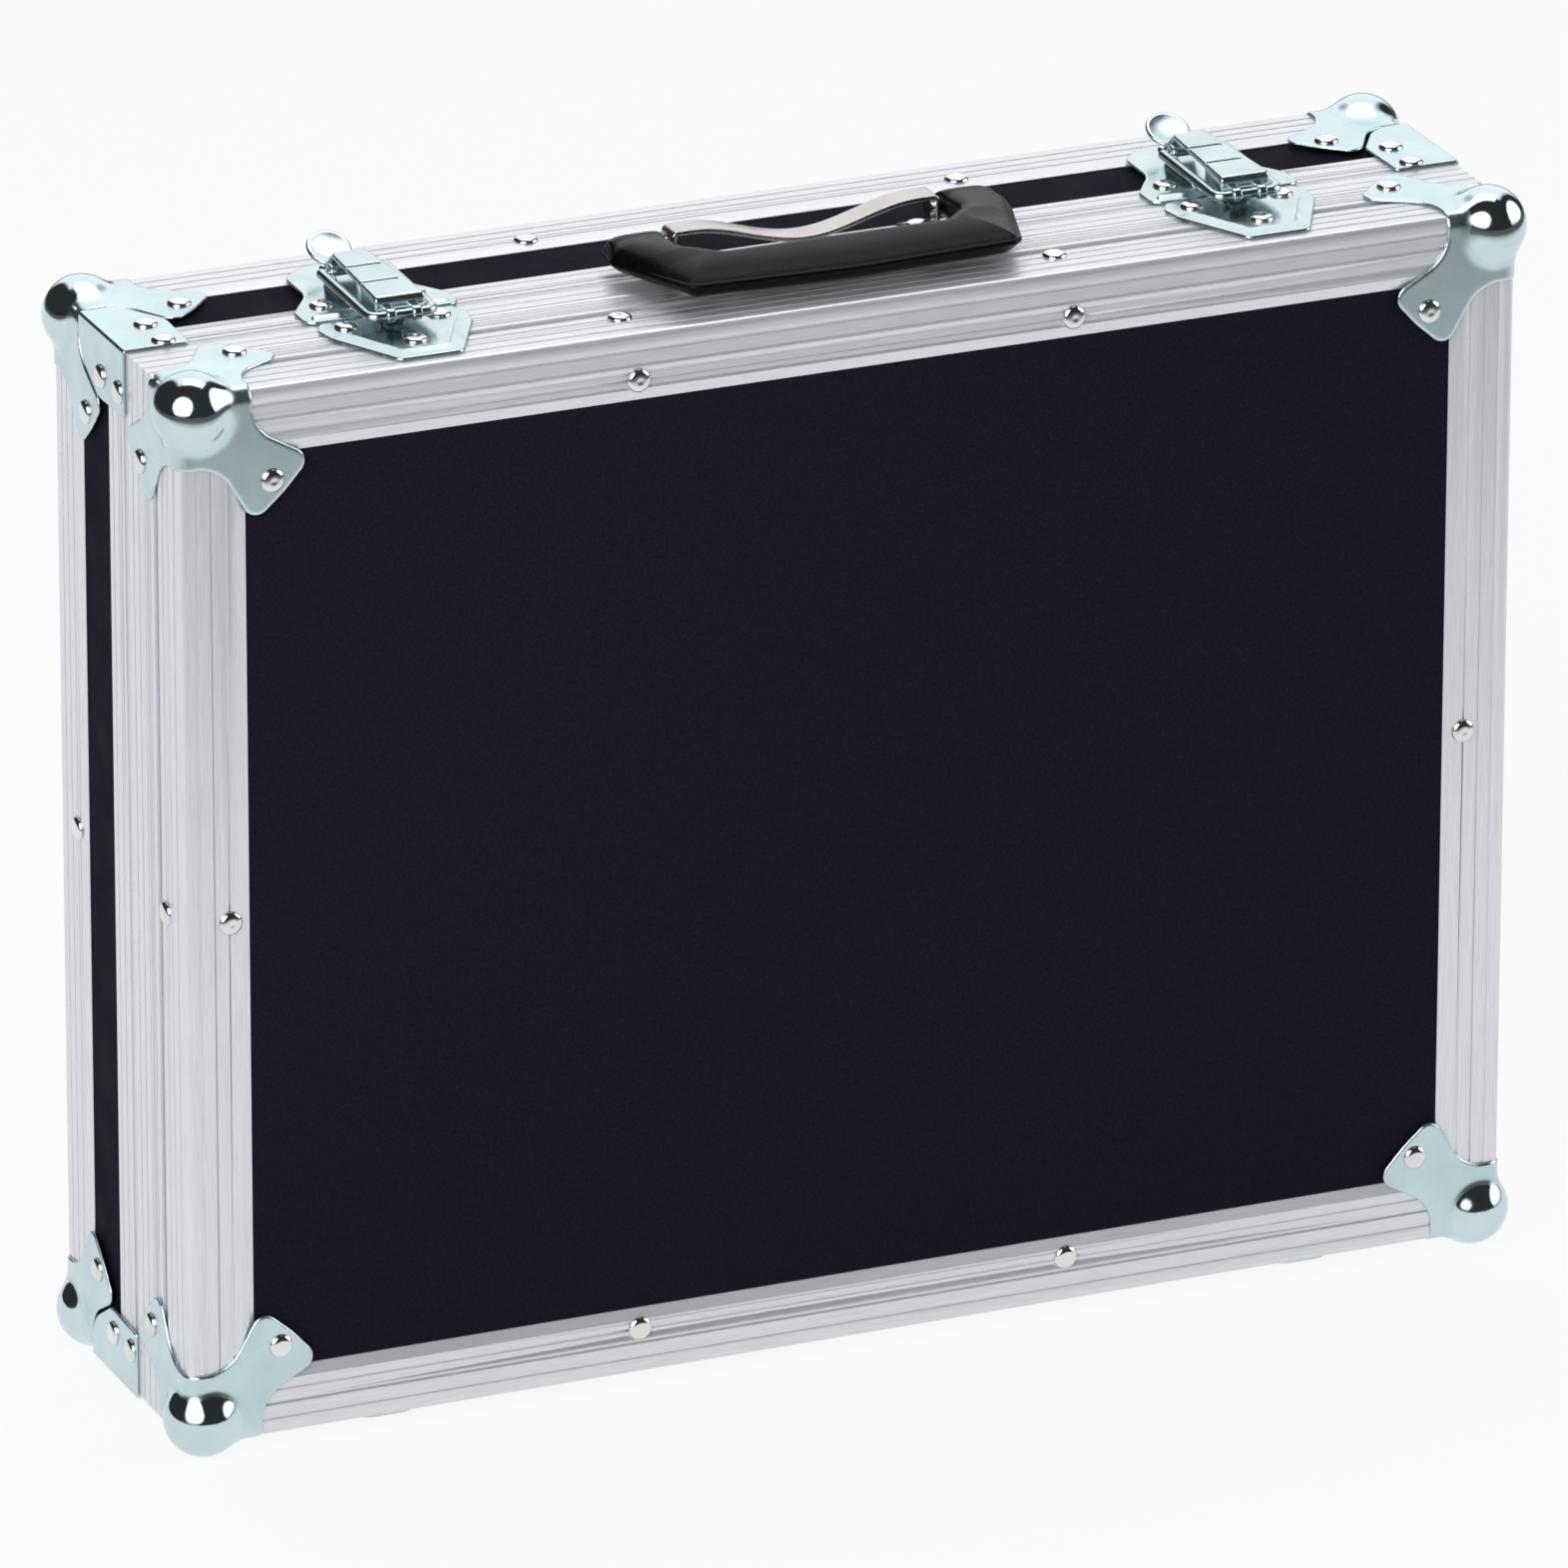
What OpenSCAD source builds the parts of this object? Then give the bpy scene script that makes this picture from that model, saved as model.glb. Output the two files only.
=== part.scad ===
// Microphone case: black laminated panels in riveted aluminium profiles,
// pressed ball corners, a lid hinged along its lower edge, two draw latches
// and a folding carrying handle. Millimetres, +Z up, lid towards -Y.
// The case stands on its four lower ball corners, centred on the origin.

/* [Case] */
// Width over the profiles
case_w = 470; // [440:5:560]
// Height over the profiles
case_h = 364; // [320:2:430]
// Depth over the profiles, lid and base together
case_d = 112; // [110:1:140]
// Depth of the lid, from its front to the opening line
lid_d = 46; // [45:0.5:48]

/* [Panels and profiles] */
// Thickness of the laminated panels
panel_t = 7; // [5:0.5:9]
// Sheet thickness of the aluminium profiles
trim_t = 1.5; // [1.2:0.1:2]
// Leg of the edge angles, measured from the outer edge
edge_leg = 23; // [20:0.5:25]
// Flange of the base closing profile on the outside
base_flange = 16.5; // [15:0.5:19]
// Rounding along the outer edges of the profiles
edge_round = 2; // [1:0.2:2.6]
// Width of the bevel at the free end of an edge angle
bevel_w = 4; // [2:0.5:5]
// Width of a groove in the profiles
groove_w = 0.7; // [0.4:0.1:1]
// Depth of a groove in the profiles
groove_depth = 0.35; // [0.2:0.05:0.5]
// Distance between grooves
groove_pitch = 5; // [4:0.5:6]
// Depth of the groove that takes the lid's tongue
seal_depth = 4.2; // [3:0.2:6]
// Thickness of the lid's tongue
tongue_t = 2.5; // [1.6:0.1:3]
// Gap between neighbouring profiles
trim_gap = 0.4; // [0.2:0.1:0.6]

/* [Ball corners and braces] */
// Radius of the pressed ball
ball_r = 13; // [12.5:0.25:14]
// Distance of the ball's centre inside the outer faces
ball_inset = 7; // [6:0.25:7.5]
// Sheet thickness of corners, braces and latch plates
plate_t = 1.2; // [1:0.1:1.5]
// Reach of a corner leg, from the edge to its far tip
corner_reach = 44; // [42:0.5:44.5]
// Distance of a corner rivet from both edges
corner_rivet = 31.5; // [30:0.5:33]
// Length of the edge wrap beside the ball
wrap_len = 25; // [23:0.5:27]
// Length of a corner brace along the depth
brace_len = 41; // [36:1:44]
// Width of a brace leg
brace_w = 22; // [20:0.5:24]
// Distance of the brace rivets from the case edge
brace_rivet = 14.5; // [12:0.5:16]

/* [Rivets] */
// Radius of a rivet head
head_r = 4.1; // [3.5:0.1:4.5]
// Height of a rivet head
head_h = 1.6; // [1.2:0.1:1.8]
// Radius of a rivet shank
shank_r = 2; // [1.6:0.1:2.4]
// Distance of the trim rivets from the outer edge
trim_rivet = 16; // [14:0.5:16.5]
// Distance of the trim rivets from the middle of the width
rivet_x = 76.5; // [74:0.5:90]

/* [Latches] */
// Distance of the latches from the middle of the width
latch_x = 149; // [120:1:160]
// How far the pair of latches sits to the right of the middle
latch_shift = 3; // [0:0.5:4]
// Distance from the opening line back to the bail's hinge
bail_back = 27; // [25:0.5:30]
// Height of the bail's hinge above the case
bail_hinge_h = 7.2; // [6.8:0.1:8]
// Height of the bail's front bar above the case
front_bar_h = 6.5; // [6.2:0.1:6.8]
// Distance between the bail's two cross bars
bail_len = 43; // [42:0.5:44]
// Outer width of the bail
bail_w = 25.6; // [25.2:0.2:28]
// Radius of the bail's wire, on whose front bar the lever turns
front_bar_r = 1.7; // [1.4:0.1:1.8]
// Radius of the bail's rear bar, in the ears of the latch plate
rear_bar_r = 1.3; // [1:0.1:1.5]
// Height of the lever's top above the case
lever_h = 12.4; // [12:0.2:14]
// Radius of the dished thumb tab
thumb_r = 7.5; // [6:0.5:8]

/* [Handle] */
// How far the handle sits to the right of the middle
handle_shift = 4; // [0:0.5:4]
// Outer width of the grip at its hinges
grip_w = 142; // [132:1:150]
// Reach of the grip from its hinge to its front
grip_reach = 49; // [46:0.5:50]
// Thickness of the grip
grip_t = 13.4; // [12:0.2:14]
// Width of the grip bar, front to back
grip_bar = 23; // [20:0.5:24]
// Distance from the opening line back to the handle's hinge
handle_back = 10; // [9:0.5:12]
// Height of the handle's hinge above the case
handle_h = 7.6; // [7.4:0.1:8.5]
// Width of the strap over its legs
strap_w = 95; // [92:0.5:100]
// Width of the strap band
strap_band = 9.6; // [9.2:0.2:13]
// Thickness of the strap
strap_t = 1.6; // [1.5:0.1:2]
// Height of the strap's raised ends
strap_h = 12.8; // [12.8:0.2:18]
// Height of the strap's low middle
strap_low = 5; // [4:0.5:8]
// Radius of the handle's hinge pins
handle_pin_r = 2.4; // [2:0.1:3]

/* [Hinges] */
// Distance of the hinges from the middle of the width
hinge_x = 164.5; // [120:0.5:166]
// Width of a hinge
hinge_w = 20; // [18:1:30]
// Thickness of a hinge leaf
leaf_t = 1.4; // [1.2:0.1:1.8]
// Length of a leaf, from the pin to its end
leaf_len = 43; // [36:0.5:43.5]
// Radius of the hinge barrel
barrel_r = 2.4; // [2.2:0.1:2.6]
// Radius of the hinge pin
hinge_pin_r = 1.2; // [1:0.1:1.4]

/* [Foam] */
// Number of microphone pockets
pockets = 6; // [3:1:6]
// Width of a microphone pocket
pocket_w = 52; // [48:1:56]
// Length of a microphone pocket
pocket_len = 190; // [160:5:195]
// Height of the accessory bay
bay_h = 88; // [40:2:90]
// Width of the accessory bay
bay_w = 400; // [200:5:404]
// Foam left above the pockets and below the bay
foam_rim = 14; // [8:1:16]
// Thickness of the foam sheet behind the insert
floor_foam_t = 7; // [4:0.5:8]
// Distance from the opening line to the insert's face
foam_back = 5; // [4:0.5:8]
// Thickness of the foam lining in the lid
lid_foam_t = 20; // [10:1:22]

/* [Hidden] */

// Running clearances
slip = 0.05;
gap = 0.3;
$fn = 48;

// Main planes: the lower balls touch z = 0
foot = ball_r - ball_inset;
top_z = foot + case_h;
front_y = -case_d / 2;
rear_y = case_d / 2;
open_y = front_y + lid_d;
half_w = case_w / 2;
wall_v = trim_t + panel_t;
shell_v = wall_v + trim_t;
seam = 0.15;
base_d = case_d - lid_d;

// Colours as the photograph shows them
LAMINATE = [0.10, 0.10, 0.14];
ALUMINIUM = [0.82, 0.83, 0.85];
ZINC = [0.72, 0.80, 0.83];
NICKEL = [0.80, 0.76, 0.72];
PLASTIC = [0.07, 0.07, 0.08];
FOAM = [0.16, 0.16, 0.17];

// An outline with rounded corners. Each point is [x, y, radius].
function unit(v) = v / norm(v);
function turn(a, b) = a[0] * b[1] - a[1] * b[0];
function arc_points(p, q, r, radius, steps) =
    let (a = unit([p[0] - q[0], p[1] - q[1]]), b = unit([r[0] - q[0], r[1] - q[1]]),
         half = acos(a * b) / 2, reach = radius / tan(half),
         mid = unit(a + b), centre = [q[0], q[1]] + mid * radius / sin(half),
         start = [q[0], q[1]] + a * reach, sweep = (180 - 2 * half) * (turn(a, b) > 0 ? -1 : 1),
         first = atan2(start[1] - centre[1], start[0] - centre[0]))
    [for (i = [0:steps]) centre + radius * [cos(first + sweep * i / steps), sin(first + sweep * i / steps)]];
function rounded(points, steps = 6) =
    let (n = len(points))
    [for (i = [0:n - 1]) each (points[i][2] == 0 ? [[points[i][0], points[i][1]]]
        : arc_points(points[(i + n - 1) % n], points[i], points[(i + 1) % n], points[i][2], steps))];

// A place on a face of the case: +Z of the children points outwards.
// u runs along the face's width, v along its height or depth from the front.
module on_face(face, u, v, h = 0) {
    if (face == "front") translate([u, front_y - h, foot + v]) rotate([90, 0, 0]) children();
    if (face == "rear") translate([u, rear_y + h, foot + v]) rotate([-90, 0, 0]) children();
    if (face == "top") translate([u, front_y + v, top_z + h]) children();
    if (face == "bottom") translate([u, front_y + v, foot - h]) rotate([180, 0, 0]) children();
    if (face == "left") translate([-half_w - h, front_y + u, foot + v]) rotate([0, -90, 0]) children();
    if (face == "right") translate([half_w + h, front_y + u, foot + v]) rotate([0, 90, 0]) children();
}

// Rivets, each as [face, u, v, height of its seat, shank kind].
// Shank kinds: 0 short, in a profile only; 1 to the inside of a panel;
// 2 on through the inner flange of a closing profile.
SIDES = [-1, 1];
ENDS = ["bottom", "top"];
FLANKS = ["left", "right"];
shank_len = [trim_t - 0.1, wall_v, shell_v];
hole_len = [trim_t - 0.05, shell_v + 1, shell_v + 1];
corner_u = half_w - corner_rivet;
corner_v = [corner_rivet, case_h - corner_rivet];
brace_f = [lid_d + 4.5, lid_d + 20.5];
latch_off = min(latch_x, half_w - corner_reach - 32);
hinge_off = min(hinge_x, half_w - corner_reach - hinge_w / 2 - 3);
latch_rivet_x = 16;
strike_rivets = [[-latch_rivet_x, -7, 2], [latch_rivet_x, -7, 2], [0, -26.5, 1]];
plate_rivets = [[-latch_rivet_x, 14.8, 2], [latch_rivet_x, 14.8, 2], [0, 46.5, 1]];
near_rivet = 14;
far_rivet = 32;
strap_rivet_x = strap_w / 2 - strap_t - 4.5;

function latch_mid(s) = s * latch_off + latch_shift;
function panel_rivets(face) = concat(
    [for (x = SIDES * rivet_x, v = [trim_rivet, case_h - trim_rivet]) [face, x, v, 0, 1]],
    [for (s = SIDES) [face, s * (half_w - trim_rivet), case_h / 2, 0, 1]],
    [for (s = SIDES, v = corner_v) [face, s * corner_u, v, plate_t, 1]]);
function wall_rivets(f_trim, f_corner, kind) = concat(
    [for (e = ENDS, x = SIDES * rivet_x) [e, x, f_trim, 0, 1]],
    [for (e = FLANKS) [e, f_trim, case_h / 2, 0, 1]],
    [for (e = ENDS, s = SIDES) [e, s * corner_u, f_corner, plate_t, kind]],
    [for (e = FLANKS, v = corner_v) [e, f_corner, v, plate_t, kind]]);
LID_RIVETS = concat(
    panel_rivets("front"), wall_rivets(trim_rivet, corner_rivet, 2),
    [for (s = SIDES, p = strike_rivets) ["top", latch_mid(s) + p[0], lid_d + p[1], plate_t, p[2]]],
    [for (s = SIDES) ["bottom", s * hinge_off, lid_d - near_rivet, leaf_t, 2]],
    [for (s = SIDES) ["bottom", s * hinge_off, lid_d - far_rivet, leaf_t, 1]]);
BASE_RIVETS = concat(
    panel_rivets("rear"), wall_rivets(case_d - trim_rivet, case_d - corner_rivet, 1),
    [for (e = ENDS, s = SIDES, i = [0, 1]) [e, s * (half_w - brace_rivet), brace_f[i], plate_t, i]],
    [for (e = FLANKS, v = [brace_rivet, case_h - brace_rivet], i = [0, 1]) [e, brace_f[i], v, plate_t, i]],
    [for (s = SIDES, p = plate_rivets) ["top", latch_mid(s) + p[0], lid_d + p[1], plate_t, p[2]]],
    [for (s = SIDES) ["top", handle_shift + s * strap_rivet_x, lid_d + handle_back, strap_t, 2]],
    [for (s = SIDES) ["bottom", s * hinge_off, lid_d + near_rivet, leaf_t, 2]],
    [for (s = SIDES) ["bottom", s * hinge_off, lid_d + far_rivet, leaf_t, 1]]);

// Which entry of a rivet holds its distance from the front
function flank_i(side) = side == "left" || side == "right" ? 1 : 2;
function on(rivets, face) = [for (r = rivets) if (r[0] == face) r];
function between(rivets, side, low, high) =
    [for (r = on(rivets, side)) if (r[flank_i(side)] > low && r[flank_i(side)] < high) r];
function through(rivets) = [for (r = rivets) if (r[4] > 0) r];

module shank_holes(rivets) {
    for (r = rivets)
        on_face(r[0], r[1], r[2]) translate([0, 0, -hole_len[r[4]]])
            cylinder(r = shank_r + slip, h = hole_len[r[4]] + 3, $fn = 24);
}

module rivet(seat, kind) {
    dome_r = (head_r * head_r + head_h * head_h) / (2 * head_h);
    mark_depth = 0.6;
    translate([0, 0, -shank_len[kind]])
        cylinder(r = shank_r, h = shank_len[kind] + seat + 0.2, $fn = 24);
    translate([0, 0, seat]) difference() {
        intersection() {
            translate([0, 0, head_h - dome_r]) sphere(r = dome_r);
            cylinder(r = head_r, h = head_h + 1, $fn = 32);
        }
        translate([0, 0, head_h - mark_depth]) cylinder(r = shank_r / 2, h = 2, $fn = 16);
    }
}

module rivet_set(rivets) {
    for (r = rivets) on_face(r[0], r[1], r[2]) rivet(r[3], r[4]);
}

// Panels and walls
module wall(side, f0, f1) {
    level = side == "top" || side == "bottom";
    size = level ? [case_w - 2 * trim_t, f1 - f0, panel_t]
        : [panel_t, f1 - f0, case_h - 2 * wall_v];
    x = side == "right" ? half_w - wall_v : -half_w + trim_t;
    z = side == "top" ? top_z - wall_v : side == "bottom" ? foot + trim_t : foot + wall_v;
    translate([x, front_y + f0, z]) cube(size);
}

module face_panel(y, rivets) {
    difference() {
        translate([-half_w + trim_t, y, foot + trim_t])
            cube([case_w - 2 * trim_t, panel_t, case_h - 2 * trim_t]);
        shank_holes(rivets);
    }
}

base_web = seal_depth + trim_t;
lid_web = 3;
module base_wall(side) {
    difference() {
        wall(side, lid_d + seam + base_web, case_d - wall_v);
        shank_holes(through(on(BASE_RIVETS, side)));
    }
}
module lid_wall(side) {
    difference() {
        wall(side, wall_v, lid_d - seam - lid_web);
        shank_holes(between(LID_RIVETS, side, 0, lid_d));
    }
}

// Profiles: a section is drawn with x as the distance from the front and
// y as the height above the outer face, then run along one side
module groove_set(first, last) {
    for (f = [first:groove_pitch:last])
        translate([f - groove_w / 2, -groove_depth]) square([groove_w, groove_depth + 1]);
}

module edge_angle_section() {
    lip = trim_t - 0.4;
    flat = edge_leg - bevel_w;
    difference() {
        polygon(rounded([[0, 0, edge_round], [flat, 0, 0], [edge_leg, -lip, 0],
            [edge_leg, -trim_t, 0], [trim_t, -trim_t, 0], [trim_t, -edge_leg, 0],
            [lip, -edge_leg, 0], [0, -flat, 0]]));
        groove_set(groove_pitch + 0.8, flat - 2);
        mirror([1, 0]) rotate(-90) groove_set(groove_pitch + 0.8, flat - 2);
    }
}

module lid_closing_section() {
    f0 = edge_leg + trim_gap;
    f1 = lid_d - seam;
    mid = -shell_v / 2;
    tip = f1 + seal_depth - 0.6;
    difference() {
        union() {
            translate([f0, -trim_t]) square([f1 - f0, trim_t]);
            translate([f1 - lid_web, -shell_v]) square([lid_web, shell_v]);
            translate([f1 - base_flange, -shell_v]) square([base_flange, trim_t]);
            translate([f1 - 1, mid - tongue_t / 2]) square([tip - f1 + 0.1, tongue_t]);
            translate([f1 - 1, mid - tongue_t / 4]) square([tip - f1 + 1, tongue_t / 2]);
        }
        groove_set(f0 + 3, f1 - 3);
    }
}

module base_closing_section() {
    f0 = lid_d + seam;
    slot = tongue_t + 1.5;
    difference() {
        union() {
            translate([f0, -trim_t]) square([base_flange, trim_t]);
            translate([f0, -shell_v]) square([base_web, shell_v]);
            translate([f0, -shell_v]) square([base_flange, trim_t]);
        }
        groove_set(f0 + 3, f0 + base_flange - 2);
        translate([f0 - 1, -shell_v / 2 - slot / 2]) square([seal_depth + 1, slot]);
    }
}

// A section run along one side of the case and mitred at both ends
module run_along(side, rear = false) {
    level = side == "top" || side == "bottom";
    length = level ? case_w : case_h;
    half = level ? case_h / 2 : half_w;
    deep = 60;
    spin = side == "top" ? 0 : side == "right" ? 90 : side == "bottom" ? 180 : 270;
    translate([0, 0, foot + case_h / 2]) rotate([0, spin, 0]) translate([0, 0, half])
        intersection() {
            translate([-length / 2, rear ? rear_y : front_y, 0])
                rotate([90, 0, 90]) linear_extrude(length)
                    mirror([rear ? 1 : 0, 0]) children();
            translate([0, case_d, 0]) rotate([90, 0, 0]) linear_extrude(2 * case_d)
                polygon([[-length / 2 - 1, 1], [length / 2 + 1, 1],
                    [length / 2 - deep, -deep], [-length / 2 + deep, -deep]]);
        }
}

// The profile corners are cut away inside the pressed balls
module corner_reliefs(rear) {
    relief = ball_inset + 0.5;
    y = rear ? rear_y - relief : front_y - 1;
    for (x = [-half_w - 1, half_w - relief], z = [foot - 1, top_z - relief])
        translate([x, y, z]) cube(relief + 1);
}

module edge_angle(side, rear) {
    rivets = rear ? BASE_RIVETS : LID_RIVETS;
    difference() {
        run_along(side, rear) edge_angle_section();
        corner_reliefs(rear);
        shank_holes(on(rivets, side));
        shank_holes(on(rivets, rear ? "rear" : "front"));
    }
}
module base_closing(side) {
    difference() {
        run_along(side) base_closing_section();
        shank_holes(between(BASE_RIVETS, side, lid_d, lid_d + base_flange + 3));
    }
}
module lid_closing(side) {
    difference() {
        run_along(side) lid_closing_section();
        shank_holes(between(LID_RIVETS, side, edge_leg, lid_d));
    }
}

// Pressed ball corner: its corner at the origin, +X, +Y and +Z into the case
leg_tip = 25;
leg_neck = 7.5;
module corner_leg() {
    tip = corner_reach + 1.6;
    mid = (tip + leg_tip) / 2 + 0.6;
    polygon(rounded([[-plate_t, -plate_t, 0], [wrap_len, -plate_t, 0], [wrap_len, leg_neck, 1],
        [wrap_len + 2.2, leg_neck + 7, 14], [tip, leg_tip, 3], [mid, mid, 20], [leg_tip, tip, 3],
        [leg_neck + 7, wrap_len + 2.2, 14], [leg_neck, wrap_len, 1], [-plate_t, wrap_len, 0]]));
}

module ball_corner() {
    centre = [1, 1, 1] * ball_inset;
    collar = plate_t + 0.8;
    difference() {
        union() {
            translate([0, 0, -plate_t]) linear_extrude(plate_t) corner_leg();
            translate([-plate_t, 0, 0]) rotate([90, 0, 90]) linear_extrude(plate_t) corner_leg();
            rotate([90, 0, 0]) linear_extrude(plate_t) corner_leg();
            intersection() {
                translate(centre) sphere(r = ball_r + 3.5, $fn = 64);
                translate([-1, -1, -1] * collar) cube(wrap_len);
            }
            translate(centre) sphere(r = ball_r, $fn = 64);
        }
        translate(centre) sphere(r = ball_r - plate_t, $fn = 64);
        cube(60);
    }
}

module case_corner(rear, high, side) {
    difference() {
        translate([(side == "right" ? 1 : -1) * half_w, rear ? rear_y : front_y, high ? top_z : foot])
            mirror([side == "right" ? 1 : 0, 0, 0]) mirror([0, rear ? 1 : 0, 0])
                mirror([0, 0, high ? 1 : 0]) ball_corner();
        shank_holes([for (r = rear ? BASE_RIVETS : LID_RIVETS) if (r[3] == plate_t) r]);
    }
}

// Corner brace: +X in from the case edge, +Y back from the opening line
module brace_leg() {
    difference() {
        polygon(rounded([[-plate_t, seam + 0.1, 0], [brace_w, seam + 0.1, 1.5],
            [brace_w + 0.6, brace_len / 2, 10], [brace_w + 0.6, brace_len, 3], [-plate_t, brace_len, 0]]));
        translate([-trim_gap, base_d - trim_gap]) mirror([0, 1]) corner_leg();
    }
}

module corner_brace(high, side) {
    difference() {
        translate([(side == "right" ? 1 : -1) * half_w, open_y, high ? top_z : foot])
            mirror([side == "right" ? 1 : 0, 0, 0]) mirror([0, 0, high ? 1 : 0]) union() {
                translate([0, 0, -plate_t]) linear_extrude(plate_t) brace_leg();
                rotate([0, -90, 0]) linear_extrude(plate_t) brace_leg();
            }
        shank_holes([for (r = BASE_RIVETS) if (r[3] == plate_t) r]);
    }
}

// Latches: +X across, +Y back from the opening line, +Z above the case
bar_y = bail_back - bail_len;
ear_in = 7.4;
ear_t = 1.4;
ear_r = 3;
ear_front = 4;
rim_w = 2.4;
rim_h = 2.4;
catch_y = -6.8;
module at_latch(side) {
    translate([latch_mid(side == "right" ? 1 : -1), open_y, top_z]) children();
}

module strike_plate(side) {
    front = -41;
    shoulder = -15;
    catch_w = 9;
    catch_t = 1.2;
    catch_h = 5.3;
    difference() {
        at_latch(side) union() {
            linear_extrude(plate_t) polygon(rounded([[-11, front, 3], [11, front, 3],
                [24.5, shoulder, 5], [25.8, -7, 4], [23, -0.8, 2],
                [-23, -0.8, 2], [-25.8, -7, 4], [-24.5, shoulder, 5]]));
            linear_extrude(rim_h) difference() {
                polygon(rounded([[-11, front, 3], [11, front, 3], [24.2, shoulder, 0],
                    [-24.2, shoulder, 0]]));
                polygon(rounded([[-9.5, front + rim_w, 2], [9.5, front + rim_w, 2],
                    [22.2, shoulder + 1, 0], [-22.2, shoulder + 1, 0]]));
            }
            translate([-catch_w / 2, catch_y, 0]) cube([catch_w, catch_t, catch_h]);
        }
        shank_holes(on(LID_RIVETS, "top"));
    }
}

module ear() {
    rotate([90, 0, 90]) linear_extrude(ear_t)
        polygon([[ear_front, 0], [bail_back + 5, 0], [bail_back + ear_r, bail_hinge_h],
            [bail_back - ear_r, bail_hinge_h]]);
    translate([0, bail_back, bail_hinge_h]) rotate([0, 90, 0]) cylinder(r = ear_r + 0.05, h = ear_t);
}

module latch_plate(side) {
    lobe = 26.8;
    difference() {
        at_latch(side) union() {
            linear_extrude(plate_t) polygon(rounded([[-lobe, 0.8, 4], [lobe, 0.8, 4],
                [lobe, 12, 5], [17.5, 26, 10], [17.5, 44, 8], [9, 52.5, 8],
                [-9, 52.5, 8], [-17.5, 44, 8], [-17.5, 26, 10], [-lobe, 12, 5]]));
            for (x = [-lobe + 3, 12.5]) translate([x, 0.8, 0]) cube([lobe - 15.5, rim_w, rim_h]);
            for (x = [-ear_in - ear_t, ear_in]) translate([x, 0, 0]) ear();
        }
        shank_holes(on(BASE_RIVETS, "top"));
        at_latch(side) translate([-bail_w / 2, bail_back, bail_hinge_h]) rotate([0, 90, 0])
            cylinder(r = rear_bar_r + slip, h = bail_w);
    }
}

module latch_bail(side) {
    bend = 3;
    drop = bail_hinge_h - front_bar_h;
    reach = norm([bail_len, drop]);
    mid = bail_w / 2 - front_bar_r;
    at_latch(side) translate([0, bail_back, bail_hinge_h]) rotate([atan2(drop, bail_len), 0, 0]) {
        for (s = SIDES) {
            translate([s * mid, 0, 0]) rotate([90, 0, 0])
                cylinder(r = front_bar_r, h = reach - bend);
            translate([s * mid, 0, 0]) sphere(r = front_bar_r);
            translate([s * (mid - bend), bend - reach, 0]) rotate([0, 0, s > 0 ? -90 : 180])
                rotate_extrude(angle = 90) translate([bend, 0]) circle(r = front_bar_r);
        }
        translate([bend - mid, -reach, 0]) rotate([0, 90, 0])
            cylinder(r = front_bar_r, h = 2 * (mid - bend));
        translate([-mid, 0, 0]) rotate([0, 90, 0]) cylinder(r = rear_bar_r, h = 2 * mid);
    }
}

nose_y = bar_y + front_bar_r + 0.4;
nose_half = 8.7;
body_end = 30.6;
body_half = 6.1;
step_y = 1.6;
function half_at(y) = nose_half + (body_half - nose_half) * (y - nose_y) / (body_end - nose_y);
module lever_plan(inset, y0, y1) {
    polygon([[-half_at(y0) + inset, y0], [half_at(y0) - inset, y0],
        [half_at(y1) - inset, y1], [-half_at(y1) + inset, y1]]);
}

module lever_shell() {
    top = lever_h - plate_t;
    skirt = 9.6;
    difference() {
        intersection() {
            linear_extrude(lever_h + 1) lever_plan(0, nose_y, body_end);
            translate([-nose_half, 0, 0]) rotate([90, 0, 90]) linear_extrude(2 * nose_half)
                polygon(rounded([[nose_y, 5.2, 0], [nose_y, lever_h, 2.4], [body_end, lever_h, 0],
                    [body_end, skirt, 0], [step_y, skirt, 0], [step_y, 5.1, 0]]));
        }
        linear_extrude(top) lever_plan(plate_t, nose_y + plate_t, step_y);
        linear_extrude(top) lever_plan(plate_t + 0.6, step_y - 0.01, body_end + 1);
        linear_extrude(top - 0.2) difference() {
            lever_plan(-2, step_y, body_end + 1);
            lever_plan(0.6, step_y - 1, body_end + 2);
        }
        for (y = [1, 16.4]) translate([-10, y, lever_h - 0.5]) cube([15, 0.8, 1]);
    }
}

module latch_lever(side) {
    knuckle_w = 3;
    knuckle_r = front_bar_r + 0.8;
    claw_w = 5.2;
    claw_t = 1.3;
    claw_low = 2.4;
    top = lever_h - plate_t / 2;
    tab_t = 1.8;
    tab_lean = 60;
    tab_at = [-3, 42, 8];
    at_latch(side) difference() {
        union() {
            lever_shell();
            for (x = [-6, 6 - knuckle_w]) translate([x, bar_y, front_bar_h]) {
                cube([knuckle_w, nose_y + plate_t - bar_y, knuckle_r - 0.05]);
                rotate([0, 90, 0]) cylinder(r = knuckle_r, h = knuckle_w);
            }
            translate([-claw_w / 2, catch_y - gap - claw_t, claw_low])
                cube([claw_w, claw_t, top - claw_low]);
            translate([-5.5, 0, 0]) rotate([90, 0, 90]) linear_extrude(11)
                polygon([[body_end - 2, lever_h], [body_end + 0.8, lever_h], [39.9, 4.9],
                    [39.4, 3.4], [38.4, 3.4], [body_end - 0.4, top - plate_t / 2],
                    [body_end - 2, top - plate_t / 2]]);
            translate(tab_at) rotate([tab_lean, 0, 0]) difference() {
                translate([0, 0, -tab_t / 2]) cylinder(r = thumb_r, h = tab_t);
                translate([0, 0, 22.2]) sphere(r = 22.2, $fn = 64);
            }
        }
        translate([-10, bar_y, front_bar_h]) rotate([0, 90, 0])
            cylinder(r = front_bar_r + slip, h = 20);
        translate([-12, 30, -1]) cube([24, 20, 1 + claw_low]);
    }
}

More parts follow.
